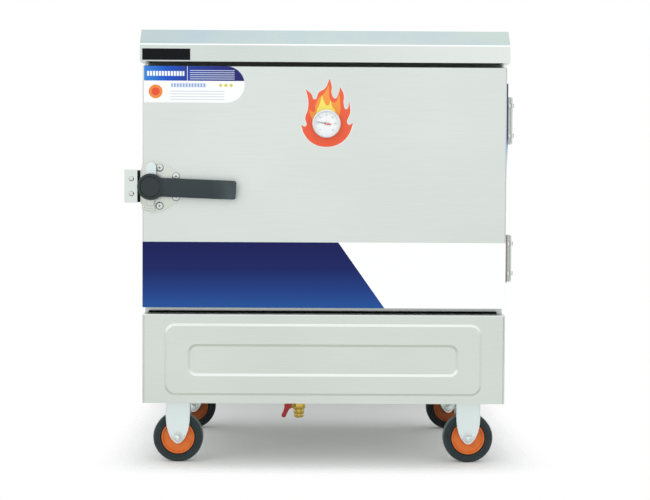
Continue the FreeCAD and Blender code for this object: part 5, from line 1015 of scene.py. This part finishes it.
def flap_print():
    """Film that turns from navy to white toward its lower end."""
    flap = Finish("flap_film", Specular_IOR_Level=0.2)
    drop = (FLAP_TOP - flap.axis("z")) * (1 / FLAP_FADE)
    colour = flap.colours(
        drop, (0.0, linear(34, 32, 88)), (0.55, linear(40, 42, 104)), (0.62, linear(130, 162, 214)),
        (0.78, linear(196, 224, 250)), (1.0, linear(250, 252, 255)),
    )
    flap.feed("Base Color", flap.mix(flap.noise(300.0) * 0.1, colour, linear(200, 210, 230)))
    flap.feed("Roughness", flap.noise(40.0) * 0.2 + 0.3)
    return flap


edge_flap = slab("edge_flap", FLAP_X, FLAP_Z, -307.5, 0.3)
slice_at(edge_flap, (0, 0, FLAP_CUT), (0, 0, 1))
outer, lower = (FLAP_X[1] - 1) * MM, (FLAP_CUT - 1) * MM
pick_points(edge_flap, lambda point: point.x > outer and point.z < lower)
bpy.ops.transform.translate(value=(-2.6 * MM, 0, 0))
dress(edge_flap, "door", "dial_face", flap_print())

# %% [markdown]
# Beside each hinge lies a short strip of brown packing. It is soft, so its corners are rounded,
# and both strips are made in one loop and joined, because neither moves by itself.

# %% Hinge packing
PACKING_LOWS, PACKING_LONG = (367.0, 643.5), 93
packing_brown = moulded("packing_brown", linear(126, 92, 74), linear(190, 158, 138), 0.7, 90.0, 0.2)
strips = []
for low in PACKING_LOWS:
    strip = slab("packing", (360.1, 363.4), (low, low + PACKING_LONG), -299.0, 3.0)
    round_corners(strip, 0.5, 2)
    strips.append(strip)
dress(unite("hinge_packing", strips), "door", "seal_rubber", packing_brown)

# %% [markdown]
# Pan-head screws are modelled once, at the origin and facing forward. The rim of a short cylinder
# is bevelled into a dome, and two thin blocks cut the cross into it. The cross is lined with grey as
# painted shade, and a thin grey ring round the head's foot is a painted shadow. A rivet is the same
# dome without the cross. A picture of a cross would look flat from the side.

# %% Pan-head screws
# Grey for painted shade in the cross and for a painted shadow ring under each head.
recess_low, recess_high = linear(104, 108, 106), linear(132, 136, 134)
recess_painted_shade = moulded("recess_painted_shade", recess_low, recess_high, 0.6, 300.0, 0.05, shine=0.1)
CROSS_LONG, CROSS_WIDE = 0.33, 0.085


def pan_head(name, radius, height, crossed=True):
    """A head at the origin that looks forward, with a cross if a driver turns it."""
    head = rod(name, radius, (-height, 0), sides=28)
    pick_edges(head, lambda start, end: max(start.y, end.y) < -height * 0.9 * MM)
    bevel(height * 0.62, 4)
    head.data.materials.append(polished.material)
    head.data.materials.append(recess_painted_shade.material)
    arms = ((CROSS_LONG, CROSS_WIDE), (CROSS_WIDE, CROSS_LONG))
    for wide, tall in arms if crossed else ():
        x, z = radius * wide, radius * tall
        carve(head, "DIFFERENCE", slab("driver_bit", (-x, x), (-z, z), -height * 1.5, height))

    def in_recess(centre, normal):
        near = max(abs(centre.x), abs(centre.z)) < radius * 0.35 * MM
        return near and -height * 0.93 * MM < centre.y < -0.01 * MM

    pick_faces(head, in_recess)
    head.active_material_index = 1
    bpy.ops.object.material_slot_assign()
    # A thin grey ring under the head: a painted shadow.
    ring = rod("painted_shadow_ring", radius * 1.1, (-0.4, 0), sides=28)
    ring.data.materials.append(recess_painted_shade.material)
    head = unite(name, [head, ring])
    smooth(head, 35)
    return head


heads = {"large": pan_head("large_head", 7.2, 3.0), "small": pan_head("small_head", 5.0, 3.0)}
heads["rivet"] = pan_head("rivet_head", 4.6, 2.8, crossed=False)
print("heads:", {kind: len(head.data.polygons) for kind, head in heads.items()})

# %% [markdown]
# Every place where the CAD model has a screw on the door or the frame gets a copy of a head,
# turned to look out of its sheet. The copies on one body are joined and stand in for the plain
# heads of the CAD model.

# %% Screws of the door and the frame
TO_RIGHT, TO_LEFT, TO_FRONT, TO_BACK = math.pi / 2, -math.pi / 2, 0.0, math.pi
HINGE_HEIGHTS = (659.7, 720.3, 383.2, 443.8)
PLATE_SCREWS = ((-325.6, 516.5), (-325.6, 591.5), (-293.4, 533.7), (-293.4, 574.3))


def copy_to(piece, place, spin=0.0):
    """A copy of a piece that was made at the origin, turned about the upright axis and moved."""
    only(piece)
    bpy.ops.object.duplicate()
    copy = bpy.context.object
    copy.rotation_euler = (0, 0, spin)
    copy.location = [c * MM for c in place]
    return settle(copy)


def set_heads(name, places, body):
    """Copies of the heads at their places, each turned its own way, as one piece."""
    group = unite(name, [copy_to(heads[kind], at, spin) for kind, at, spin in places])
    dress(group, body, "bright_steel")
    return group


door_places = [("large", (x, -313.0, z), TO_FRONT) for x, z in PLATE_SCREWS]
door_places += [("small", (362.5, -276.2, z), TO_RIGHT) for z in HINGE_HEIGHTS]
frame_places = [("small", (362.5, -226.8, z), TO_RIGHT) for z in HINGE_HEIGHTS]
frame_places += [("small", (-362.5, -221.8, z), TO_LEFT) for z in (538.8, 571.2)]
frame_places += [("rivet", (-379.5, -331.8, z), TO_FRONT) for z in (540.3, 569.7)]
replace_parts(set_heads("door_screw_heads", door_places, "door"), "door_screws")
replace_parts(set_heads("frame_screw_heads", frame_places, "cabinet"), "frame_screws")

# %% [markdown]
# The front of the base is pressed sheet. Its slopes that look up get painted light, near white,
# its top edge a painted highlight, and the slopes that look down painted shade. A line could be
# painted along each slope, but a mask on the direction in which the surface looks finds them all by
# itself.

# %% Pressed steel
BASE_X, BASE_Z = (-360, 360), (125, 302)


def burnished():
    """Brushed steel with painted light on slopes that look up and on the top edge, and painted shade where it
    looks down.
    """
    steel = brushed("pressed_steel", linear(220, 225, 219), ALONG_X)
    up = steel.axis("z", "Normal")
    z = steel.axis("z")
    # Painted light on the slopes that look up.
    highlight_mask = steel.ramp(up, 0.12, 0.5) * (z < (BASE_Z[1] - 2.8) * MM)
    # Painted highlight along the top edge.
    edge = (z > (BASE_Z[1] - 1.8) * MM) * (up < 0.9)
    shine = (highlight_mask + edge).calc("MINIMUM", 1.0)
    # Painted shade on the slopes that look down.
    under = steel.ramp(up * -1, 0.12, 0.5) * (z > (BASE_Z[0] + 5) * MM)
    tone = steel.mix(under, steel.fed("Base Color"), linear(214, 220, 210))
    steel.feed("Base Color", steel.mix(shine, tone, linear(240, 243, 240)))
    steel.feed("Metallic", 1.0 - shine * 0.75 - under * 0.4)
    return steel


pressed_steel = burnished()
print("made", pressed_steel.material.name)

# %% [markdown]
# A raised frame is pressed into the sheet, with slopes that are wide and smooth. One rounded block
# whose face is drawn in stands forward of the sheet, and the same kind of block, turned about,
# sinks its middle again. Then the box is opened at the back and below and given its wall.

# %% Base front
BASE_DEPTH, BASE_LEVEL, PRESS, SLOPE, BASE_SHEET = 62, -310.0, 4.0, 5.0, 1.2
RAISED_X, RAISED_Z = (-316.6, 314), (140.8, 283.8)
SUNK_X, SUNK_Z = (-269.3, 267.1), (179.4, 243.2)
OVERLAP = 0.1


def field(name, x, z, front, depth, radius):
    """A block with round corners, the tool that presses one step of the frame."""
    piece = slab(name, x, z, front, depth)
    round_corners(piece, radius, 10)
    return piece


base_front = slab("pressed_base_front", BASE_X, BASE_Z, BASE_LEVEL, BASE_DEPTH)
pick_edges(base_front, lambda start, end: runs_along(Z, start, end) and start.y < (BASE_LEVEL + 1) * MM)
bevel(5, 6)
top_edge, front_edge = (BASE_Z[1] - 0.1) * MM, (BASE_LEVEL + 5.1) * MM
pick_edges(base_front, lambda start, end: min(start.z, end.z) > top_edge and max(start.y, end.y) < front_edge)
bevel(1.3, 3)
raised = field("raised_field", RAISED_X, RAISED_Z, BASE_LEVEL + OVERLAP, 6, 22)
pick_faces(raised, facing(Y, -1))
bpy.ops.mesh.inset(thickness=SLOPE * MM, depth=(PRESS + OVERLAP) * MM)
carve(base_front, "UNION", raised)
sunk = field("sunk_field", SUNK_X, SUNK_Z, BASE_LEVEL - PRESS - 6, 6.02, 17)
pick_faces(sunk, facing(Y, 1))
bpy.ops.mesh.inset(thickness=SLOPE * MM, depth=PRESS * MM)
carve(base_front, "DIFFERENCE", sunk)
soften(base_front, 0.9, 25)
back_edge, low_edge = (BASE_LEVEL + BASE_DEPTH - 0.5) * MM, (BASE_Z[0] + 0.5) * MM
pick_faces(base_front, lambda centre, normal: normal.y > 0.9 and centre.y > back_edge)
bpy.ops.mesh.delete(type="FACE")
pick_faces(base_front, lambda centre, normal: normal.z < -0.9 and centre.z < low_edge)
bpy.ops.mesh.delete(type="FACE")
modify(base_front, "SOLIDIFY", thickness=BASE_SHEET * MM, offset=-1)
smooth(base_front, 30, weight=100)
dress(base_front, "cabinet", "steel", pressed_steel)
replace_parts(base_front, "base_front_panel")

# %% [markdown]
# The panels at the back and the sides are held by small pan-head screws: down both edges of the
# back, round the cover of the terminals, and low on each side. They are copies of the same head,
# joined into one piece, because none of them moves by itself.

# %% Screws of the outer panels
BACK_FACE, TERMINAL_FACE, SIDE_FACE = 308.8, 346.8, 360
panel_places = [("small", (x, BACK_FACE, z), TO_BACK) for x in (-348, 348) for z in (150, 325, 500, 675, 845)]
panel_places += [("small", (x, BACK_FACE, z), TO_BACK) for x in (-174, 0, 174) for z in (140, 850)]
panel_places += [("small", (x, TERMINAL_FACE, z), TO_BACK) for x in (-138, 258) for z in (228, 300)]
panel_places += [("small", (SIDE_FACE, y, 142), TO_RIGHT) for y in (-200, 30, 260)]
panel_places += [("small", (-SIDE_FACE, y, 142), TO_LEFT) for y in (-200, 30, 260)]
set_heads("panel_screws", panel_places, "cabinet")

# %% [markdown]
# Heat leaves the terminal cover through louvres. One louvre is a block whose lower edge is drawn
# out, so that it throws water off; the rest are copies of it. Painted lines would look flat here,
# because the back is seen from the side as often as straight on.

# %% Louvres
louvre = slab("louvre", (-28, 28), (-4, 4), -0.2, 0.4)
pick_faces(louvre, facing(Y, -1))
bpy.ops.mesh.inset(thickness=0.6 * MM)
extrude(0, -3.6, 0)
only()
pick_points(louvre, lambda point: point.y < -3.5 * MM and point.z > 0)
bpy.ops.transform.translate(value=(0, 3.2 * MM, 0))
soften(louvre, 0.5, 25)
louvre_places = [(x, TERMINAL_FACE, z) for x in (-70, 0, 70, 140) for z in (240, 256, 272, 288)]
louvres = unite("louvres", [copy_to(louvre, place, TO_BACK) for place in louvre_places])
bpy.data.objects.remove(louvre)
dress(louvres, "cabinet", "steel", back_steel)

# %% [markdown]
# The latch plate has painted light above the lever and painted shade below it. Its bent edges get
# painted shade too, and again a mask on the direction in which the surface looks finds them.

# %% Steel of the latch plate
def latch_finish():
    """Painted light above the lever, and painted shade below it and on every bent edge."""
    steel = plated("latch_steel", linear(228, 231, 226), 0.28, 0.03)
    # Painted shade on the bent edges.
    edge = steel.ramp(steel.axis("y", "Normal") * -1, 0.97, 0.7, high=0.8)
    # Painted shade below the lever, painted light above it.
    low = steel.ramp(steel.axis("z"), 0.57, 0.52)
    tone = steel.mix(low, steel.fed("Base Color"), linear(212, 217, 208))
    steel.feed("Base Color", steel.mix(edge, tone, linear(134, 140, 134)))
    return steel


latch_steel = latch_finish()
print("made", latch_steel.material.name)

# %% [markdown]
# The plate is pressed from sheet. Two discs and the skin drawn round them give the outline, and
# slanting cuts take off the corners by the door's edge. Three smaller discs stand on it as the
# steps of the pressed band, and a fine bevel gives each edge its line of light.

# %% Latch plate
LATCH = (-341.0, 554.0)
PRESSED, PRESSED_EDGE = (-313, -310), -363.5
CORNER_CUT, CUT_SLANT = 33, (16, 11)
STEP_RADIUS, STEP_IN, STEP_FRONT, STEP_RISE = 48, 5, -316, 3
STEP_LEFT, STEP_RIGHT = -360.5, -334
round_end = rod("round_end", 52, PRESSED, LATCH)
latch_plate = unite("pressed_latch_plate", [round_end, rod("nose", 24, PRESSED, (-290.0, LATCH[1]))])
only(latch_plate)
bpy.ops.object.mode_set(mode="EDIT")
bpy.ops.mesh.select_all(action="SELECT")
bpy.ops.mesh.convex_hull()
slice_at(latch_plate, (PRESSED_EDGE, 0, 0), (1, 0, 0), clear="inner")
for side in (-1, 1):
    corner = (PRESSED_EDGE, 0, LATCH[1] + side * CORNER_CUT)
    slice_at(latch_plate, corner, (CUT_SLANT[0], 0, -side * CUT_SLANT[1]), clear="inner")
for number in range(3):
    depths = (STEP_FRONT - STEP_RISE * number, PRESSED[0] + 2)
    step = rod("press_step", STEP_RADIUS - STEP_IN * number, depths, LATCH)
    slice_at(step, (STEP_LEFT + STEP_IN * number, 0, 0), (1, 0, 0), clear="inner")
    slice_at(step, (STEP_RIGHT - number, 0, 0), (1, 0, 0), clear="outer")
    soften(step, 0.9, 50)
    carve(latch_plate, "UNION", step)
carve(latch_plate, "UNION", rod("hub", 22, (STEP_FRONT - 6, PRESSED[0] + 2), LATCH))
smooth(latch_plate, 30, weight=60)
dress(latch_plate, "door", "bright_steel", latch_steel)
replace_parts(latch_plate, "latch_plate")

# %% [markdown]
# The lever is one moulding: a round boss and an arm that bends outward and thins toward its end.
# The arm starts as a block with round end corners. Cuts across and along it give points to move,
# outward for the bend and at mid-width for the crown, and a bevel softens every edge. A bend
# modifier would give one even arc, but this arm bends early and comes back a little at its end.

# %% Arm of the lever
ARM_REACH, ARM_HALF, ARM_FRONT, ARM_THICK = 167.5, 18.5, -347.7, 11.4
BEND, BEND_START, BEND_END, BEND_BACK = 7.0, 26, 92, 3.0
CROWN, THINNING, THINNING_START = 1.6, 3.0, 60
ARM_MIDDLE = -342 * MM


def bend_out(reach):
    """How far the arm has bent outward at a distance from the latch's centre."""
    if reach < BEND_START:
        return 0.0
    if reach < BEND_END:
        return BEND * math.sin(math.pi / 2 * (reach - BEND_START) / (BEND_END - BEND_START))
    return BEND - BEND_BACK * ((reach - BEND_END) / (ARM_REACH - BEND_END)) ** 2


arm_x = (LATCH[0] + 8, LATCH[0] + ARM_REACH)
arm = slab("moulded_lever", arm_x, (LATCH[1] - ARM_HALF, LATCH[1] + ARM_HALF), ARM_FRONT, ARM_THICK)
pick_edges(arm, lambda start, end: runs_along(Y, start, end) and start.x > (arm_x[1] - 1) * MM)
bevel(4.6, 5)
for across in (*range(26, 97, 10), *range(108, 157, 12)):
    slice_at(arm, (LATCH[0] + across, 0, 0), (1, 0, 0))
for along in (-14, -10, -5, 0, 5, 10, 14):
    slice_at(arm, (0, 0, LATCH[1] + along), (0, 0, 1))
for point in arm.data.vertices:
    reach = point.co.x / MM - LATCH[0]
    wide = (point.co.z / MM - LATCH[1]) / ARM_HALF
    if point.co.y < ARM_MIDDLE:
        outward = CROWN * (1 - wide * wide)
    else:
        outward = THINNING * max(0.0, (reach - THINNING_START) / (ARM_REACH - THINNING_START))
    point.co.y -= (bend_out(reach) + outward) * MM
modify(arm, "BEVEL", width=1.8 * MM, segments=3, limit_method="ANGLE", angle_limit=math.radians(60))
print("arm with", len(arm.data.polygons), "faces")

# %% [markdown]
# The boss is a short cylinder with a rounded rim and a groove round its cap. It is joined to the
# arm by a union, as one moulding has no seam, and the whole is then turned about the spindle,
# because the real lever hangs two degrees below level.

# %% Boss of the lever
BOSS_FRONT, HANG = -349.3, 2.1
boss = rod("boss", 26, (BOSS_FRONT, -328.3), LATCH)
boss_face = (BOSS_FRONT + 0.1) * MM
pick_edges(boss, lambda start, end: max(start.y, end.y) < boss_face)
bevel(2.2, 4)
pick_faces(boss, lambda centre, normal: normal.y < -0.99 and centre.y < boss_face)
bpy.ops.mesh.inset(thickness=3.4 * MM)
bpy.ops.mesh.inset(thickness=0.5 * MM, depth=-1.4 * MM)
carve(arm, "UNION", boss)
only(arm)
latch_centre = (LATCH[0] * MM, -0.34, LATCH[1] * MM)
bpy.ops.transform.rotate(value=math.radians(-HANG), orient_axis="Y", center_override=latch_centre)
settle(arm)
smooth(arm, 32, weight=60)
heights = [point.co.z / MM for point in arm.data.vertices]
print("lever from height", round(min(heights), 1), "to", round(max(heights), 1))
dress(arm, "latch", "lever_coating", lever_coat)
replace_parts(arm, "latch_lever")

# %% [markdown]
# A caster's fork is bent from zinc-plated sheet. One cheek is drawn as an outline, which narrows
# to a round tip more smoothly than cuts through a block would. Its face is drawn in and pressed
# back to leave a raised rim, and it is copied for the far side. With its top plate it makes one
# fork, which is then copied to the four corners.

# %% Caster forks
CHEEK = (
    (24, 131, 1), (-24, 131, 1), (-24.0, 108, 0), (-23.8, 88, 0), (-22.0, 72, 0), (-17.6, 57, 0),
    (-11.3, 45.6, 0), (0, 38, 0), (11.3, 45.6, 0), (17.6, 57, 0), (22.0, 72, 0), (23.8, 88, 0),
)
CHEEK_FRONT, CHEEK_SHEET, CHEEK_TOP = -21.5, 2.5, 130.8
WHEELS = [(x, y) for x in (-WHEEL_X, WHEEL_X) for y in (-WHEEL_Y, WHEEL_Y)]
near_cheek = sheet_from("near_cheek", CHEEK, CHEEK_FRONT, CHEEK_SHEET)
slice_at(near_cheek, (0, 0, CHEEK_TOP), (0, 0, 1), clear="outer")
pick_faces(near_cheek, facing(Y, -1))
bpy.ops.mesh.inset(thickness=1.7 * MM)
bpy.ops.mesh.inset(thickness=0.8 * MM, depth=-0.7 * MM)
only()
far_cheek = copy_to(near_cheek, (0, 0, 0), TO_BACK)
crown_plate = slab("crown_plate", (-52, 52), (128.6, 130.9), -40, 80)
pick_edges(crown_plate, lambda start, end: runs_along(Z, start, end))
bevel(7.5, 5)
fork = unite("fork", [near_cheek, far_cheek, crown_plate])
forks = unite("pressed_forks", [copy_to(fork, (x, y, 0)) for x, y in WHEELS])
bpy.data.objects.remove(fork)
dress(forks, "cabinet", "steel", zinc)
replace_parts(forks, "caster_forks")

# %% [markdown]
# Each axle ends in a domed nut on a washer. The dome is half a ball, flattened, because a bevelled
# cylinder would keep a flat top. Nut and washer are copied to both ends of the four axles.

# %% Axle nuts
NUT_RADIUS, NUT_FLATNESS, NUT_OUT = 7.4, 0.62, 27.4
nut = begin(
    "uv_sphere", "nut", segments=32, ring_count=16, radius=NUT_RADIUS * MM,
    location=(0, 0, 0), rotation=(math.pi / 2, 0, 0),
)
nut.scale = (1, 1, NUT_FLATNESS)
settle(nut)
slice_at(nut, (0, 0, 0), (0, 1, 0), clear="outer")
smooth(nut, 40)
washer = rod("washer", 9.4, (4.3, 4.9), sides=40)
pick_faces(washer, facing(Y, -1))
bpy.ops.mesh.inset(thickness=1.2 * MM, depth=0.2 * MM)
only()
axle_ends = [((x, y - NUT_OUT, AXLE_Z), TO_FRONT) for x, y in WHEELS]
axle_ends += [((x, y + NUT_OUT, AXLE_Z), TO_BACK) for x, y in WHEELS]
nuts = unite("axle_nuts", [copy_to(nut, *end) for end in axle_ends])
dress(nuts, "cabinet", "bright_steel", zinc)
washers = unite("axle_washers", [copy_to(washer, *end) for end in axle_ends])
dress(washers, "cabinet", "bright_steel", polished)
for pattern in (nut, washer, *heads.values()):
    bpy.data.objects.remove(pattern)

# %% [markdown]
# The valve's handle is a strip of sheet dipped in red paint: a root on the stem and an arm that
# leans outward as it comes down. It is drawn as an outline, like the flame, and softened, since
# paint rounds every edge. It turns about the stem, with its own body.

# %% Drain valve handle
HANDLE = (
    (-66.2, 95, 1), (-78.6, 95, 1), (-79.8, 86, 0), (-83.4, 73, 0), (-87.2, 63, 0), (-86.6, 60.2, 0),
    (-79.0, 59.8, 0), (-76.8, 64, 0), (-73.6, 71, 0), (-70.2, 76.6, 0), (-67.0, 79.0, 0), (-66.2, 86, 0),
)
STEM = (-10, 85)
handle = sheet_from("red_handle", HANDLE, -22.6, 3.0)
soften(handle, 0.6, 50)
root = rod("handle_root", 6, (-78.5, -70.5), STEM, X, 32)
pick_faces(root, facing(X, -1))
bpy.ops.mesh.inset(thickness=1.5 * MM, depth=0.6 * MM)
neck = slab("handle_neck", (-78.4, -70.6), (80, 90), -22.4, 10)
round_corners(neck, 2, 4)
handle = unite("red_handle", [handle, root, neck])
dress(handle, "drain_handle", "handle_red", red_paint)
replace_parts(handle, "drain_valve_handle")

# %% [markdown]
# The valve's body is turned and milled brass. From the top it has a round neck on the pipe, six
# flats for the spanner, a barrel, and a narrower outlet with a bead at its rim. A profile could be
# spun, but the six flats are no part of a spun shape, so each length is a cylinder with its rims
# taken off. The outlet's end face is drawn in and pushed up for the bore.

# %% Drain valve body
VALVE = (-50, -10)


def turned(name, radius, low, high, sides=48, rim=0.8):
    """A length of the valve's upright body, with its rims taken off."""
    piece = rod(name, radius, (low, high), VALVE, Z, sides)
    soften(piece, rim, 70)
    return piece


outlet = turned("outlet", 9.7, 58.2, 67.5)
pick_faces(outlet, facing(Z, -1))
bpy.ops.mesh.inset(thickness=2.2 * MM)
extrude(0, 0, 7)
only()
parts = [
    outlet, turned("bead", 10.6, 59.6, 62.2), turned("barrel", 11.6, 66, 77.6, rim=1.6),
    turned("flats", 13.6, 77.2, 92.5, sides=6, rim=1.0), turned("neck", 13.0, 92, 112),
]
gland = rod("stem_gland", 8.2, (-70, -58), STEM, X, 6)
soften(gland, 0.7, 50)
valve = unite("turned_valve_body", parts + [gland])
smooth(valve, 35)
dress(valve, "cabinet", "valve_brass", brass)
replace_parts(valve, "drain_valve_body")

# %% [markdown]
# The floor is a pale disc. It keeps the shade under the cabinet, and fades out a hand's width
# beyond the wheels, so that no line shows where it ends. A dark card behind the cabinet, which
# the camera doesn't see, keeps light off the floor there.

# %% Floor
WHEELS_HALF, FLOOR_MIDDLE, FLOOR_HALF = 300 * MM, 190 * MM, 460 * MM
floor = begin("circle", "floor", vertices=128, radius=2.6, fill_type="NGON", location=(0, 0.2, 0))
settle(floor)
ground = Finish("pale_floor", Roughness=0.9, Specular_IOR_Level=0.1, Emission_Strength=0.085)
beyond_x = (ground.axis("x").calc("ABSOLUTE") - WHEELS_HALF).calc("MAXIMUM", 0.0)
beyond_y = ((ground.axis("y") - FLOOR_MIDDLE).calc("ABSOLUTE") - FLOOR_HALF).calc("MAXIMUM", 0.0)
span = (beyond_x * beyond_x + beyond_y * beyond_y).calc("SQRT")
fade = ground.ramp(span, 0.02, 0.17, kind="SMOOTHSTEP")
ground.feed("Base Color", ground.mix(ground.noise(3.0), linear(240, 240, 240), linear(244, 244, 244)))
ground.surface.inputs["Emission Color"].default_value = (1.0, 0.98, 1.0, 1.0)
solid = Signal(ground, ground.surface.outputs[0])
clear = ground.node("ShaderNodeBsdfTransparent", {}, {})
faded = ground.node("ShaderNodeMixShader", {}, {0: fade, 1: solid, 2: clear})
ground.tree.links.new(faded.socket, ground.tree.nodes["Material Output"].inputs[0])
floor.data.materials.append(ground.material)
card = slab("light_card", (-500, 500), (2, 900), 800, 2)
card_black = moulded("card_black", linear(10, 10, 10), linear(14, 14, 14), 0.9, 40.0, 0.02)
card.data.materials.append(card_black.material)
card.visible_camera = False
card.visible_glossy = False
card.visible_transmission = False
print("floor and card ready")

# %% [markdown]
# The world is white to the camera. What the metal mirrors is a studio: brighter above, darker
# below, with four dark upright flags at the diagonals, which draw a dark line round every domed
# and bevelled edge. Real flags could stand in the room, but they would be seen and cast shadows.

# %% Background
scene = bpy.context.scene
scene.view_settings.view_transform = "Standard"
world = bpy.data.worlds.new("studio")
world.use_nodes = True
scene.world = world


class Studio(Finish):
    """The same node maths, on the world's tree."""

    def __init__(self, world):
        self.tree = world.node_tree
        self.tree.nodes.clear()


FLAGS = 4
studio = Studio(world)
east, north, height = (studio.axis(letter, "Generated") for letter in "xyz")
around = east.calc("ARCTAN2", north * -1) * FLAGS
flags = studio.ramp(around.calc("COSINE") * -1, 0.2, 0.9)
upright = studio.ramp(height.calc("ABSOLUTE"), 0.5, 0.95, 1.0, 0.0)
above = height.calc("MAXIMUM", 0.0) * 0.25
below = height.calc("MINIMUM", 0.0) * 0.55
mirrored = (above + below + 1.0) * (1.0 - flags * upright * 0.62)
seen = studio.node("ShaderNodeLightPath", {}, {}, "Is Camera Ray")
shiny = studio.node("ShaderNodeLightPath", {}, {}, "Is Glossy Ray")
level = 1.0 - shiny + mirrored * shiny
soft = studio.node("ShaderNodeBackground", {}, {"Color": (0.98, 1.0, 0.995, 1.0), "Strength": level})
white = studio.node("ShaderNodeBackground", {}, {"Color": (1.0, 1.0, 1.0, 1.0), "Strength": 1.0})
shown = studio.node("ShaderNodeMixShader", {}, {0: seen, 1: soft, 2: white})
out = studio.tree.nodes.new("ShaderNodeOutputWorld")
studio.tree.links.new(shown.socket, out.inputs[0])
print("background ready")

# %% [markdown]
# One soft lamp stands high on the left. It could be a small bright one, but a wide one gives no
# shadow a hard edge, and it is weak, because most of the light comes from the white world.

# %% Lamp
LAMP_PLACE, LAMP_AIM = Vector((-2.6, -2.4, 1.8)), Vector((0, 0, 0.5))
lamp = bpy.data.lights.new("left_light", "AREA")
lamp.shape = "RECTANGLE"
lamp.size, lamp.size_y = 1.6, 2.2
lamp.energy = 9
holder = bpy.data.objects.new("left_light", lamp)
holder.location = LAMP_PLACE
holder.rotation_euler = (LAMP_AIM - LAMP_PLACE).to_track_quat("-Z", "Y").to_euler()
scene.collection.objects.link(holder)
print("lamp ready")

# %% [markdown]
